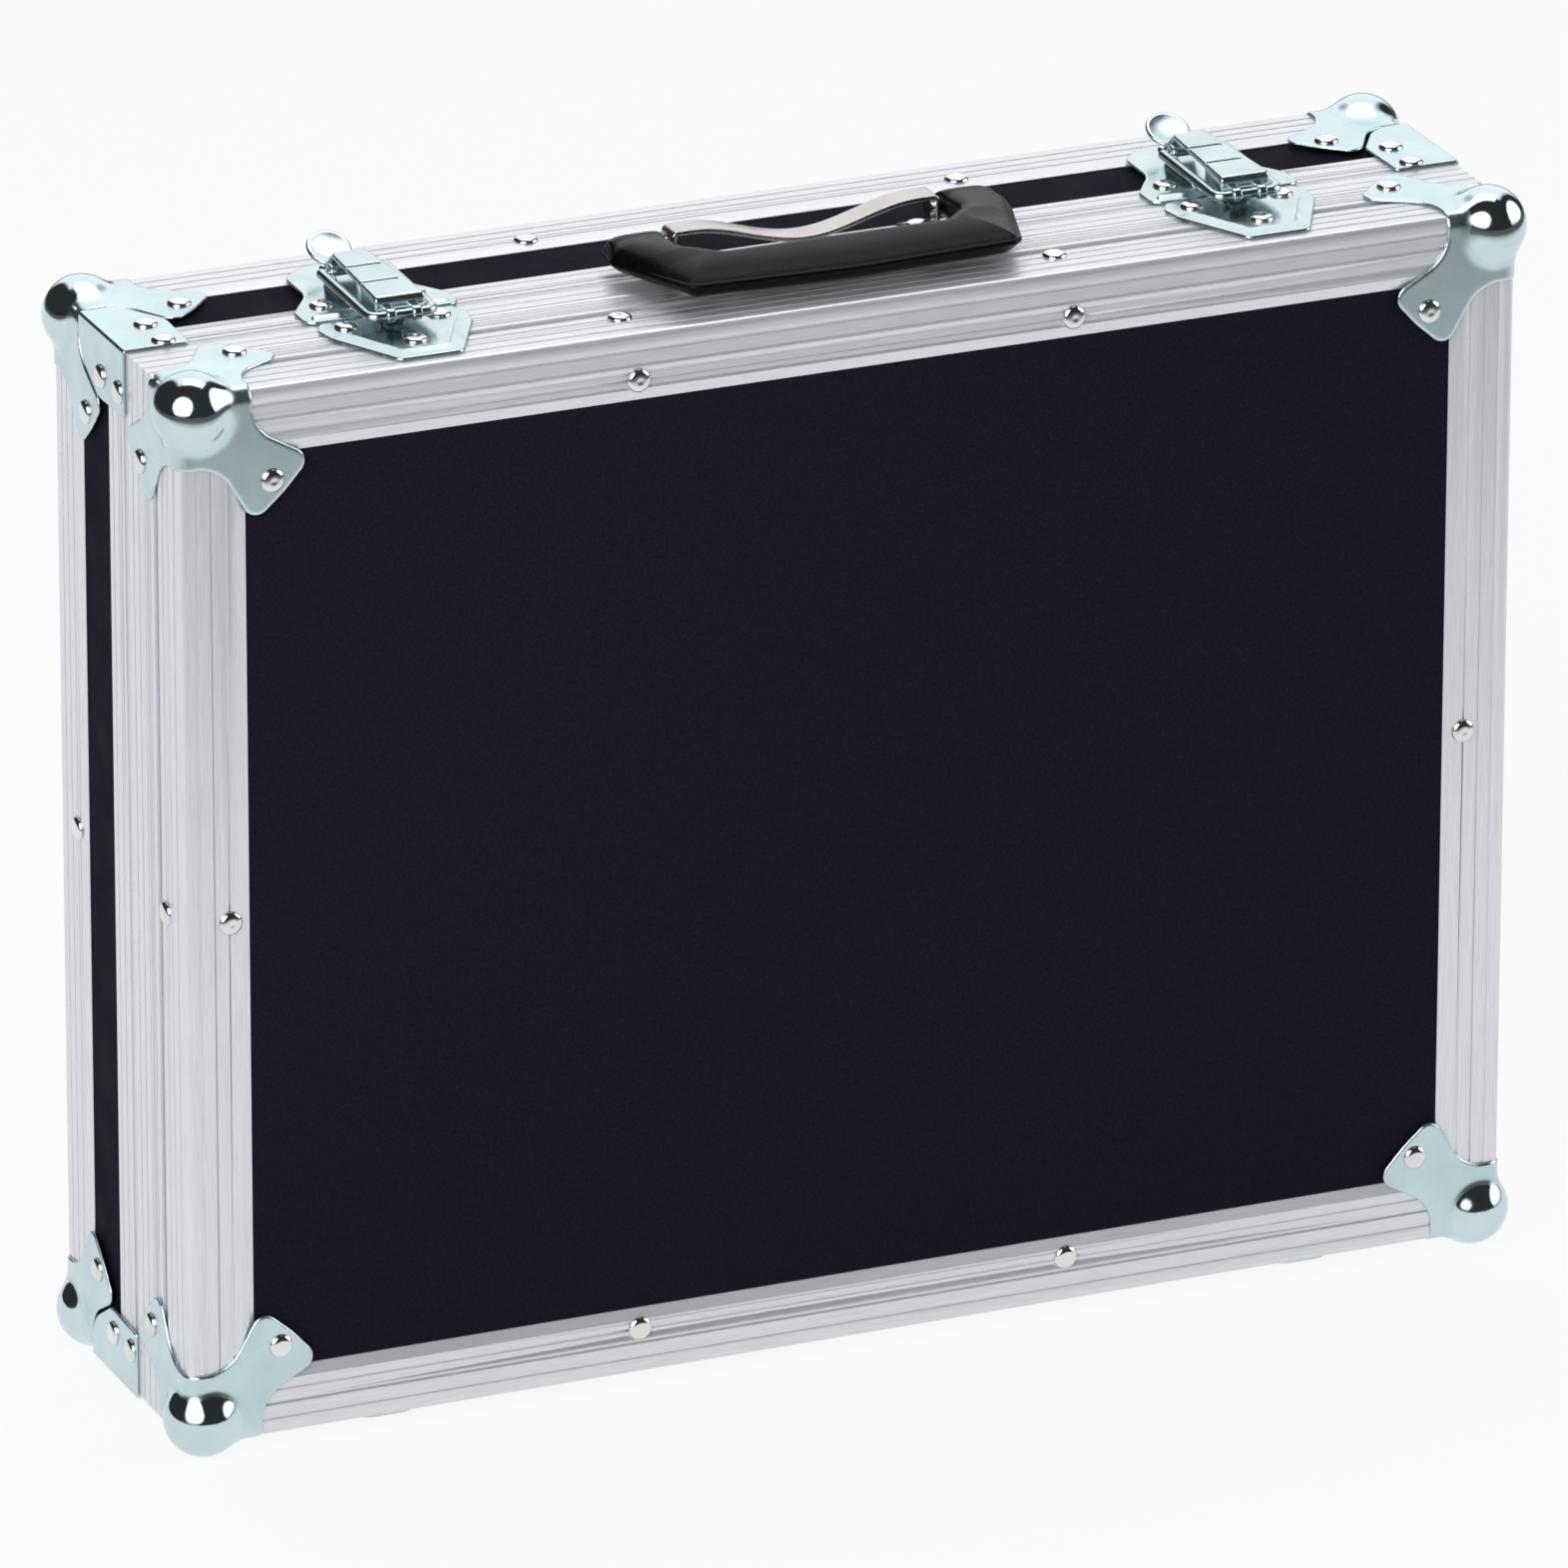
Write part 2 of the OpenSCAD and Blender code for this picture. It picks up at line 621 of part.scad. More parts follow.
// Handle: the same axes, from the middle of its hinge line on the top face
grip_in = strap_w / 2 + 0.7;
grip_out = grip_w / 2;
grip_r = grip_t / 2;
pin_end = grip_out - 5;
module at_handle() {
    translate([handle_shift, open_y + handle_back, top_z]) children();
}

module grip_plan(e) {
    front = -grip_reach + e;
    inner = -grip_reach + grip_bar - e;
    polygon(rounded([[grip_out - e, 0, 0], [grip_out - 2 - e, -26, 12],
        [grip_out - 11.5 - e, front + 1, 9], [0, front - 0.8, 120],
        [-grip_out + 11.5 + e, front + 1, 9], [-grip_out + 2 + e, -26, 12], [-grip_out + e, 0, 0],
        [-grip_in - e, 0, 0], [-grip_in - e, inner + 9, 4], [-grip_in + 9 - e, inner, 5],
        [grip_in - 9 + e, inner, 5], [grip_in + e, inner + 9, 4], [grip_in + e, 0, 0]]));
}

module handle_grip_body() {
    welt = 0.9;
    round = 1.4;
    layers = [[-grip_r, -grip_r + 1.1, round], [-grip_r + 1.1, -welt, 0], [-welt, welt, welt],
        [welt, grip_r - 1.1, 0], [grip_r - 1.1, grip_r, round]];
    at_handle() translate([0, 0, handle_h]) difference() {
        union() {
            for (l = layers) translate([0, 0, l[0]]) linear_extrude(l[1] - l[0]) grip_plan(l[2]);
            for (x = [-grip_out, grip_in]) translate([x, 0, 0]) rotate([0, 90, 0])
                cylinder(r = grip_r - 0.1, h = grip_out - grip_in);
        }
        for (x = [-pin_end - gap, grip_in - 1]) translate([x, 0, 0]) rotate([0, 90, 0])
            cylinder(r = handle_pin_r + slip, h = pin_end + gap - grip_in + 1);
    }
}

// Half of the strap's raised line, from the middle out: a smooth rise to its end
strap_flat = 7;
function strap_rise(x) =
    let (run = strap_w / 2 - strap_flat) strap_low + (strap_h - strap_low) * (1 - cos(180 * x / run)) / 2;
function strap_side(drop) =
    let (run = strap_w / 2 - strap_flat)
    [for (i = [0:strap_steps]) let (x = run * (i + 0.5) / (strap_steps + 0.5),
        slope = (strap_rise(x + 0.1) - strap_rise(x - 0.1)) / 0.2, n = norm([slope, 1]))
        [x + drop * slope / n, strap_rise(x) - drop / n, 0]];
strap_steps = 12;
module strap_body() {
    leg = strap_w / 2;
    t = strap_t;
    foot_in = strap_rivet_x - 5.7;
    outer = concat(mirrored(strap_side(0)), strap_side(0),
        [[leg, strap_h, 2.5], [leg, 0, 0], [foot_in, 0, 0], [foot_in, t, 0], [leg - t, t, 0],
            [leg - t, strap_h - t, 0.8]]);
    under = concat(mirrored(strap_side(t)), strap_side(t));
    difference() {
        at_handle() translate([0, strap_band / 2, 0]) rotate([90, 0, 0]) linear_extrude(strap_band)
            polygon(rounded(concat(outer, [for (i = [len(under) - 1:-1:0]) under[i]],
                [[-leg + t, strap_h - t, 0.8], [-leg + t, t, 0], [-foot_in, t, 0], [-foot_in, 0, 0],
                    [-leg, 0, 0], [-leg, strap_h, 2.5]])));
        shank_holes(on(BASE_RIVETS, "top"));
        for (s = SIDES) at_handle() translate([s * (leg - t / 2), 0, handle_h]) rotate([0, 90, 0])
            cylinder(r = handle_pin_r + slip, h = t + 2, center = true);
    }
}
// The mirror image of a run of points, in the opposite order
function mirrored(points) =
    [for (i = [len(points) - 1:-1:0]) [-points[i][0], points[i][1], points[i][2]]];

module pin_pair() {
    head_t = 1.3;
    inside = strap_w / 2 - strap_t;
    for (s = [0, 1]) at_handle() mirror([s, 0, 0]) translate([inside - head_t, 0, handle_h])
        rotate([0, 90, 0]) {
            cylinder(r = handle_pin_r + 0.9, h = head_t);
            cylinder(r = handle_pin_r, h = pin_end - inside + head_t);
        }
}

// Hinges: the barrel hangs below the case at the opening line
barrel_z = foot - barrel_r - gap;
knuckles = 5;
knuckle_len = (hinge_w - (knuckles - 1) * gap) / knuckles;
module hinge_leaf(lid) {
    notch = barrel_r + 0.6;
    end_r = 5;
    difference() {
        union() {
            translate([0, 0, foot - leaf_t]) linear_extrude(leaf_t)
                polygon(rounded([[-hinge_w / 2, notch, 0], [hinge_w / 2, notch, 0],
                    [hinge_w / 2, leaf_len, end_r], [-hinge_w / 2, leaf_len, end_r]]));
            for (i = [lid ? 1 : 0:2:knuckles - 1])
                translate([-hinge_w / 2 + i * (knuckle_len + gap), 0, 0]) {
                    translate([0, 0, foot - leaf_t]) cube([knuckle_len, notch + 1, leaf_t]);
                    translate([0, 0, barrel_z]) rotate([0, 90, 0])
                        cylinder(r = barrel_r, h = knuckle_len);
                }
        }
        translate([-hinge_w, 0, barrel_z]) rotate([0, 90, 0])
            cylinder(r = hinge_pin_r + slip, h = 2 * hinge_w);
    }
}
module hinge_leaves(lid) {
    difference() {
        for (s = SIDES) translate([s * hinge_off, open_y, 0]) mirror([0, lid ? 1 : 0, 0])
            hinge_leaf(lid);
        shank_holes(on(lid ? LID_RIVETS : BASE_RIVETS, "bottom"));
    }
}
module hinge_pin_pair() {
    for (s = SIDES) translate([s * hinge_off - hinge_w / 2 - 0.5, open_y, barrel_z])
        rotate([0, 90, 0]) cylinder(r = hinge_pin_r, h = hinge_w + 1);
}

// Foam: a sheet on the rear panel, the die-cut insert on it, and the lid's lining
insert_w = case_w - 2 * shell_v - 2 * gap;
insert_h = case_h - 2 * shell_v - 2 * gap;
insert_z = foot + shell_v + gap;
insert_y = open_y + foam_back;
insert_end = rear_y - wall_v - floor_foam_t;
bay = [min(bay_w, insert_w - 2 * foam_rim), bay_h];
slot_len = min(pocket_len, insert_h - bay_h - 3 * foam_rim);
slot_pitch = (insert_w - pockets * pocket_w) / (pockets + 1) + pocket_w;

module foam_sheet(y, thick) {
    translate([-half_w + wall_v + gap, y, foot + wall_v + gap])
        cube([case_w - 2 * (wall_v + gap), thick, case_h - 2 * (wall_v + gap)]);
}
module insert_body() {
    deep = insert_end - insert_y + 2;
    difference() {
        translate([-insert_w / 2, insert_y, insert_z])
            cube([insert_w, insert_end - insert_y, insert_h]);
        translate([-bay[0] / 2, insert_y - 1, insert_z + foam_rim]) cube([bay[0], deep, bay[1]]);
        for (i = [0:pockets - 1])
            translate([(i - (pockets - 1) / 2) * slot_pitch - pocket_w / 2, insert_y - 1,
                insert_z + insert_h - foam_rim - slot_len])
                cube([pocket_w, deep, slot_len]);
    }
}

// One module for each piece
module rear_panel() color(LAMINATE) face_panel(rear_y - wall_v, on(BASE_RIVETS, "rear"));
module base_top_wall() color(LAMINATE) base_wall("top");
module base_bottom_wall() color(LAMINATE) base_wall("bottom");
module base_left_wall() color(LAMINATE) base_wall("left");
module base_right_wall() color(LAMINATE) base_wall("right");
module base_closing_top() color(ALUMINIUM) base_closing("top");
module base_closing_bottom() color(ALUMINIUM) base_closing("bottom");
module base_closing_left() color(ALUMINIUM) base_closing("left");
module base_closing_right() color(ALUMINIUM) base_closing("right");
module rear_edge_top() color(ALUMINIUM) edge_angle("top", true);
module rear_edge_bottom() color(ALUMINIUM) edge_angle("bottom", true);
module rear_edge_left() color(ALUMINIUM) edge_angle("left", true);
module rear_edge_right() color(ALUMINIUM) edge_angle("right", true);
module rear_corner_top_left() color(ZINC) case_corner(true, true, "left");
module rear_corner_top_right() color(ZINC) case_corner(true, true, "right");
module rear_corner_bottom_left() color(ZINC) case_corner(true, false, "left");
module rear_corner_bottom_right() color(ZINC) case_corner(true, false, "right");
module corner_brace_top_left() color(ZINC) corner_brace(true, "left");
module corner_brace_top_right() color(ZINC) corner_brace(true, "right");
module corner_brace_bottom_left() color(ZINC) corner_brace(false, "left");
module corner_brace_bottom_right() color(ZINC) corner_brace(false, "right");
module base_rivets() color(NICKEL) rivet_set(BASE_RIVETS);
module lid_panel() color(LAMINATE) face_panel(front_y + trim_t, on(LID_RIVETS, "front"));
module lid_top_wall() color(LAMINATE) lid_wall("top");
module lid_bottom_wall() color(LAMINATE) lid_wall("bottom");
module lid_left_wall() color(LAMINATE) lid_wall("left");
module lid_right_wall() color(LAMINATE) lid_wall("right");
module lid_closing_top() color(ALUMINIUM) lid_closing("top");
module lid_closing_bottom() color(ALUMINIUM) lid_closing("bottom");
module lid_closing_left() color(ALUMINIUM) lid_closing("left");
module lid_closing_right() color(ALUMINIUM) lid_closing("right");
module front_edge_top() color(ALUMINIUM) edge_angle("top", false);
module front_edge_bottom() color(ALUMINIUM) edge_angle("bottom", false);
module front_edge_left() color(ALUMINIUM) edge_angle("left", false);
module front_edge_right() color(ALUMINIUM) edge_angle("right", false);
module front_corner_top_left() color(ZINC) case_corner(false, true, "left");
module front_corner_top_right() color(ZINC) case_corner(false, true, "right");
module front_corner_bottom_left() color(ZINC) case_corner(false, false, "left");
module front_corner_bottom_right() color(ZINC) case_corner(false, false, "right");
module lid_rivets() color(NICKEL) rivet_set(LID_RIVETS);
module latch_plate_left() color(NICKEL) latch_plate("left");
module latch_plate_right() color(NICKEL) latch_plate("right");
module latch_bail_left() color(NICKEL) latch_bail("left");
module latch_bail_right() color(NICKEL) latch_bail("right");
module latch_lever_left() color(NICKEL) latch_lever("left");
module latch_lever_right() color(NICKEL) latch_lever("right");
module latch_strike_left() color(NICKEL) strike_plate("left");
module latch_strike_right() color(NICKEL) strike_plate("right");
module handle_strap() color(NICKEL) strap_body();
module handle_grip() color(PLASTIC) handle_grip_body();
module handle_pins() color(NICKEL) pin_pair();
module hinge_base_leaves() color(NICKEL) hinge_leaves(false);
module hinge_lid_leaves() color(NICKEL) hinge_leaves(true);
module hinge_pins() color(NICKEL) hinge_pin_pair();
module foam_floor() color(FOAM) foam_sheet(insert_end, floor_foam_t);
module foam_insert() color(FOAM) insert_body();
module lid_foam() color(FOAM) foam_sheet(front_y + wall_v, lid_foam_t);

rear_panel();
base_top_wall();
base_bottom_wall();
base_left_wall();
base_right_wall();
base_closing_top();
base_closing_bottom();
base_closing_left();
base_closing_right();
rear_edge_top();
rear_edge_bottom();
rear_edge_left();
rear_edge_right();
rear_corner_top_left();
rear_corner_top_right();
rear_corner_bottom_left();
rear_corner_bottom_right();
corner_brace_top_left();
corner_brace_top_right();
corner_brace_bottom_left();
corner_brace_bottom_right();
base_rivets();
lid_panel();
lid_top_wall();
lid_bottom_wall();
lid_left_wall();
lid_right_wall();
lid_closing_top();
lid_closing_bottom();
lid_closing_left();
lid_closing_right();
front_edge_top();
front_edge_bottom();
front_edge_left();
front_edge_right();
front_corner_top_left();
front_corner_top_right();
front_corner_bottom_left();
front_corner_bottom_right();
lid_rivets();
latch_plate_left();
latch_plate_right();
latch_bail_left();
latch_bail_right();
latch_lever_left();
latch_lever_right();
latch_strike_left();
latch_strike_right();
handle_strap();
handle_grip();
handle_pins();
hinge_base_leaves();
hinge_lid_leaves();
hinge_pins();
foam_floor();
foam_insert();
lid_foam();
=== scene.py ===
# %% [markdown]
# # A microphone case, dressed over its CAD model
#
# The CAD model gives every part its place and size in metres. This lesson gives those
# parts the look of the real thing: black laminate, drawn aluminium, pressed zinc corners,
# plated latches and a grained handle. Each cell makes one kind of thing and prints what it
# made.

# %% Load the frame
import math

import bmesh
import bpy
import numpy as np
from mathutils import Matrix, Vector


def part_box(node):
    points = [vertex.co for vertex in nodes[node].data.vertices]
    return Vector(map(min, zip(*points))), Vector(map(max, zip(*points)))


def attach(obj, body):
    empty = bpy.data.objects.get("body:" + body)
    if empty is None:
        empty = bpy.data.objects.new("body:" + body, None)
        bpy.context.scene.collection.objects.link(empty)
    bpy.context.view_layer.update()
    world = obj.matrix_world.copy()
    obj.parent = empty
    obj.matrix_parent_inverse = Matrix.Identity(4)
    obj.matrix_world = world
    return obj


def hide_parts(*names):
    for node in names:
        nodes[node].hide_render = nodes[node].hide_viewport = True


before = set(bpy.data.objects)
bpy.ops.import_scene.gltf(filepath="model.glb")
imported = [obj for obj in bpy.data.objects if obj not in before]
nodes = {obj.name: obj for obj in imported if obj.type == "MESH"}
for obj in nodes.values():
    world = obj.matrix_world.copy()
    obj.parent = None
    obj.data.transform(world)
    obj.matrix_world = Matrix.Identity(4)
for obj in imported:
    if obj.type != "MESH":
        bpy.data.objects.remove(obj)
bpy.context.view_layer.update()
scene = bpy.context.scene

# %% [markdown]
# The photograph was taken with a long lens from between five and six metres away, a little
# above the case and to its left. A camera could be placed by eye, but then edges never quite
# line up. These numbers come from fitting a pinhole camera to the case's edges and rivets, so
# the picture can be laid over the photograph.

# %% Camera
PHOTO_SIDE = 1571
AZIMUTH, ELEVATION, ROLL = math.radians(-23.066), math.radians(21.672), math.radians(0.123)
DISTANCE = 5.5467
FOCAL_PX = 16857.6
TARGET = Vector((-0.00163, 0, 0.18239))

back = Vector((math.sin(AZIMUTH) * math.cos(ELEVATION), -math.cos(AZIMUTH) * math.cos(ELEVATION),
               math.sin(ELEVATION)))
camera_data = bpy.data.cameras.new("camera")
camera_data.sensor_width = 36
camera_data.lens = FOCAL_PX / PHOTO_SIDE * 36
camera_data.clip_end = 100
camera = bpy.data.objects.new("camera", camera_data)
scene.collection.objects.link(camera)
camera.rotation_mode = "QUATERNION"
camera.location = TARGET + back * DISTANCE
camera.rotation_quaternion = ((-back).to_track_quat("-Z", "Y").to_matrix()
                              @ Matrix.Rotation(ROLL, 3, "Z")).to_quaternion()
scene.camera = camera
print("lens", round(camera_data.lens, 1), "mm, camera at", [round(v, 3) for v in camera.location])

# %% [markdown]
# Materials are built from nodes, so that they need no picture files and stay sharp at any
# distance. A few helpers keep the cells short: they make a node, a material with its fixed
# values written on the shader itself, a noise, a ramp between two colours or two numbers, and
# a bump. All of them are fed by object coordinates, which stay on a part when it moves.

# %% Node helpers
def add(tree, kind, **settings):
    """A new node in the tree, with settings for its properties and input sockets."""
    node = tree.nodes.new(kind)
    for key, value in settings.items():
        if hasattr(node, key):
            setattr(node, key, value)
        else:
            node.inputs[key.replace("_", " ")].default_value = value
    return node

def principled(name, **values):
    """A material with one Principled shader; values are written on its sockets."""
    material = bpy.data.materials.new(name)
    material.use_nodes = True
    shader = material.node_tree.nodes["Principled BSDF"]
    for key, value in values.items():
        shader.inputs[key.replace("_", " ")].default_value = value
    return material, material.node_tree, shader

def coordinates(tree, scale, shift=(0, 0, 0)):
    """Object coordinates in metres, multiplied by scale along each axis and then shifted."""
    where = add(tree, "ShaderNodeTexCoord")
    mapping = add(tree, "ShaderNodeMapping")
    mapping.inputs["Scale"].default_value = scale
    mapping.inputs["Location"].default_value = shift
    tree.links.new(where.outputs["Object"], mapping.inputs["Vector"])
    return mapping.outputs["Vector"]

def noise(tree, vector, scale, detail=3.0, rough=0.55):
    node = add(tree, "ShaderNodeTexNoise")
    node.inputs["Scale"].default_value = scale
    node.inputs["Detail"].default_value = detail
    node.inputs["Roughness"].default_value = rough
    tree.links.new(vector, node.inputs["Vector"])
    return node.outputs["Fac"]

def ramp(tree, value, low, high, start=0.3, end=0.7):
    """Turns a value into a colour or number between low and high."""
    node = add(tree, "ShaderNodeValToRGB")
    node.color_ramp.elements[0].position = start
    node.color_ramp.elements[1].position = end
    for element, level in zip(node.color_ramp.elements, (low, high)):
        element.color = (*level, 1) if hasattr(level, "__len__") else (level, level, level, 1)
    tree.links.new(value, node.inputs["Fac"])
    return node.outputs["Color"]

def bump(tree, shader, height, distance, strength=1.0):
    node = add(tree, "ShaderNodeBump")
    node.inputs["Strength"].default_value = strength
    node.inputs["Distance"].default_value = distance
    tree.links.new(height, node.inputs["Height"])
    tree.links.new(node.outputs["Normal"], shader.inputs["Normal"])

def colour(r, g, b):
    """A screen colour from 0 to 255 as the linear values that shaders use."""
    return tuple((v / 255 / 12.92) if v <= 10 else ((v / 255 + 0.055) / 1.055) ** 2.4
                 for v in (r, g, b))
print("helpers ready")

# %% [markdown]
# The panels are plywood with a black laminate on it, which has a finely pebbled, almost dull
# skin. A flat black would look like a hole in the picture. So the colour varies a little in
# its blue-black, the gloss varies over some centimetres, and a bump of under a tenth of a
# millimetre breaks the light up.

# %% Laminate
laminate, tree, shader = principled("laminate", Specular_IOR_Level=0.008)
skin = coordinates(tree, (1, 1, 1))
tree.links.new(ramp(tree, noise(tree, skin, 900), colour(25, 24, 34), colour(32, 31, 43)),
               shader.inputs["Base Color"])
tree.links.new(ramp(tree, noise(tree, skin, 60, 4), 0.45, 0.6), shader.inputs["Roughness"])
bump(tree, shader, noise(tree, skin, 1600, 2), 0.00005, 0.5)
print("made", laminate.name)

# %% [markdown]
# The profiles are extruded aluminium. Pushing the metal through a die leaves fine lines along
# its length. Anisotropic shading could hint at them, but real lines also show from close up.
# So a noise is stretched, long along the profile and short across it, and feeds both colour
# and bump. One material runs along X and one along Z.

# %% Aluminium
def aluminium(name, stretch, rough):
    material, tree, shader = principled(name, Metallic=0.64)
    lines = coordinates(tree, stretch)
    fine = noise(tree, lines, 60, 5, 0.7)
    broad = noise(tree, coordinates(tree, (1, 1, 1)), 9, 3)
    tree.links.new(ramp(tree, fine, colour(214, 215, 220), colour(238, 239, 243)),
                   shader.inputs["Base Color"])
    tree.links.new(ramp(tree, broad, rough - 0.04, rough + 0.04), shader.inputs["Roughness"])
    bump(tree, shader, fine, 0.00006, 0.35)
    return material

aluminium_x = aluminium("aluminium_across", (1, 60, 60), 0.35)
aluminium_z = aluminium("aluminium_upright", (60, 60, 1), 0.29)
print("made", aluminium_x.name, "and", aluminium_z.name)

# %% [markdown]
# Corners and braces are pressed steel with bright zinc on it, which looks slightly blue.
# The flat plates are satin. The ball is drawn so hard in the press that it is almost a mirror.
# One function makes every plating: patches in the colour, a gloss that varies between two
# roughnesses, and a grain. Each of the three is a noise with its scale and its detail.

# %% Zinc
def plating(name, dark, pale, gloss, patches, spots, grain, depth):
    """Bright metal plating. Gloss is the lowest and highest roughness, depth is in metres."""
    material, tree, shader = principled(name, Metallic=1.0)
    place = coordinates(tree, (1, 1, 1))
    tree.links.new(ramp(tree, noise(tree, place, *patches), dark, pale),
                   shader.inputs["Base Color"])
    tree.links.new(ramp(tree, noise(tree, place, *spots), *gloss), shader.inputs["Roughness"])
    bump(tree, shader, noise(tree, place, *grain), depth, 0.3)
    return material

ZINC_SKIN = (45, 4), (120, 4), (500, 3), 0.00003
zinc = plating("zinc", colour(192, 214, 219), colour(208, 227, 231), (0.22, 0.32), *ZINC_SKIN)
zinc_ball = plating("zinc_ball", colour(196, 217, 222), colour(210, 228, 232), (0.06, 0.12),
                    *ZINC_SKIN)
print("made", zinc.name, "and", zinc_ball.name)

# %% [markdown]
# Rivets are bright nickel and almost a mirror. The latches are plated steel with the bluish
# tint of the corners, and the strap of the handle is a duller, slightly warm steel. They come
# from the same function with a finer skin, so all plated parts belong together and differ
# only where the real ones do.

# %% Nickel
FINE_SKIN = (60, 3), (280, 4), (850, 2), 0.00002
nickel = plating("nickel", colour(222, 222, 221), colour(236, 236, 235), (0.07, 0.18),
                 *FINE_SKIN)
plated = plating("plated_steel", colour(186, 205, 209), colour(203, 219, 222), (0.15, 0.25),
                 *FINE_SKIN)
strap_steel = plating("strap_steel", colour(190, 185, 183), colour(204, 199, 196),
                      (0.24, 0.32), *FINE_SKIN)
print("made", nickel.name, plated.name, "and", strap_steel.name)

# %% [markdown]
# The grip is moulded plastic with a leather grain. Plain noise would look like sand, while a
# pattern of smooth cells gives the rounded pebbles of leather. Foam is full of open cells
# too, but coarser and rough all over, so its bump follows cells. Its colour is darker in the
# middle of each cell, which is painted shade in the pits that the bump makes.

# %% Grip and foam
def cells(tree, vector, scale, feature="F1"):
    """The distance to the middle of the nearest cell, for pebbles and pores."""
    node = add(tree, "ShaderNodeTexVoronoi", feature=feature)
    node.inputs["Scale"].default_value = scale
    tree.links.new(vector, node.inputs["Vector"])
    return node.outputs["Distance"]

grip_skin, tree, shader = principled("grip_skin", Specular_IOR_Level=0.1)
place = coordinates(tree, (1, 1, 1))
tree.links.new(ramp(tree, noise(tree, place, 300), colour(6, 6, 9), colour(12, 12, 15)),
               shader.inputs["Base Color"])
tree.links.new(ramp(tree, noise(tree, place, 90, 4), 0.25, 0.34), shader.inputs["Roughness"])
bump(tree, shader, cells(tree, place, 1300, "SMOOTH_F1"), 0.0001, 0.45)

foam, tree, shader = principled("foam", Roughness=0.95, Sheen_Weight=0.3, Sheen_Roughness=0.6)
place = coordinates(tree, (1, 1, 1))
pores = cells(tree, place, 900)
# Painted shade: the colour is darkest in the middle of each cell, where the bump dips into a
# pore.
tree.links.new(ramp(tree, pores, colour(40, 40, 43), colour(66, 66, 70), 0.1, 0.7),
               shader.inputs["Base Color"])
tree.links.new(ramp(tree, noise(tree, place, 50), 0.9, 1.0), shader.inputs["Roughness"])
bump(tree, shader, pores, 0.0006, 0.9)
print("made", grip_skin.name, "and", foam.name)

# %% [markdown]
# Panels, walls and pins already have their true shape, so they only take a material. The
# name of a part says which one, and that is quicker and safer than a list of all 57 parts.
# Parts that are replaced further on are dressed as well, so none is ever left bare.

# %% Dress the CAD nodes
def material_for(name):
    if name.endswith("_panel") or name.endswith("_wall"):
        return laminate
    if "_closing_" in name or "_edge_" in name:
        upright = name.endswith("_left") or name.endswith("_right")
        return aluminium_z if upright else aluminium_x
    if "_corner_" in name or name.startswith("corner_brace"):
        return zinc
    if "foam" in name:
        return foam
    if name == "handle_grip":
        return grip_skin
    if name.startswith("latch_"):
        return plated
    return nickel

for name, node in nodes.items():
    node.data.materials.clear()
    node.data.materials.append(material_for(name))
print("dressed", len(nodes), "nodes")

# %% [markdown]
# Pressed and moulded parts have soft edges and flowing roots that flat CAD sheets lack. They
# could be modelled by hand with subdivision, but fitting them to exact outlines is slow. A
# distance field does both: it is a number at each point of a grid that is negative inside
# the part. The larger of two fields cuts, the smaller joins, and a smooth minimum joins with
# a rounded root. The surface is then drawn where the number changes sign, with one point in
# each cell of the grid that it crosses.

# %% Distance fields
def grid(low, high, step):
    """Three coordinate arrays in millimetres over a box."""
    axes = [np.arange(a, b + step, step) for a, b in zip(low, high)]
    return np.meshgrid(*axes, indexing="ij")

def smooth_min(a, b, k):
    h = np.maximum(k - np.abs(a - b), 0) / k
    return np.minimum(a, b) - h * h * k / 4

def smooth_max(a, b, k):
    return -smooth_min(-a, -b, k)

def outline_distance(x, y, points):
    """Signed distance from a closed outline, negative inside it."""
    pts = np.array(points, float)
    best = np.full(x.shape, 1e9)
    inside = np.zeros(x.shape, bool)
    for (ax, ay), (bx, by) in zip(pts, np.roll(pts, -1, 0)):
        ex, ey = bx - ax, by - ay
        t = np.clip(((x - ax) * ex + (y - ay) * ey) / (ex * ex + ey * ey), 0, 1)
        best = np.minimum(best, (x - ax - t * ex) ** 2 + (y - ay - t * ey) ** 2)
        crosses = (ay > y) != (by > y)
        side = (x - ax) * ey - ex * (y - ay)
        inside ^= crosses & ((side < 0) == (ey > 0))
    return np.where(inside, -1, 1) * np.sqrt(best)

def prism(axes, across, points):
    """Distance from an outline that runs along one axis of the grid: 0, 1 or 2."""
    a, b = (np.take(c, 0, across) for i, c in enumerate(axes) if i != across)
    flat = outline_distance(a, b, points)
    return np.broadcast_to(np.expand_dims(flat, across), axes[0].shape)

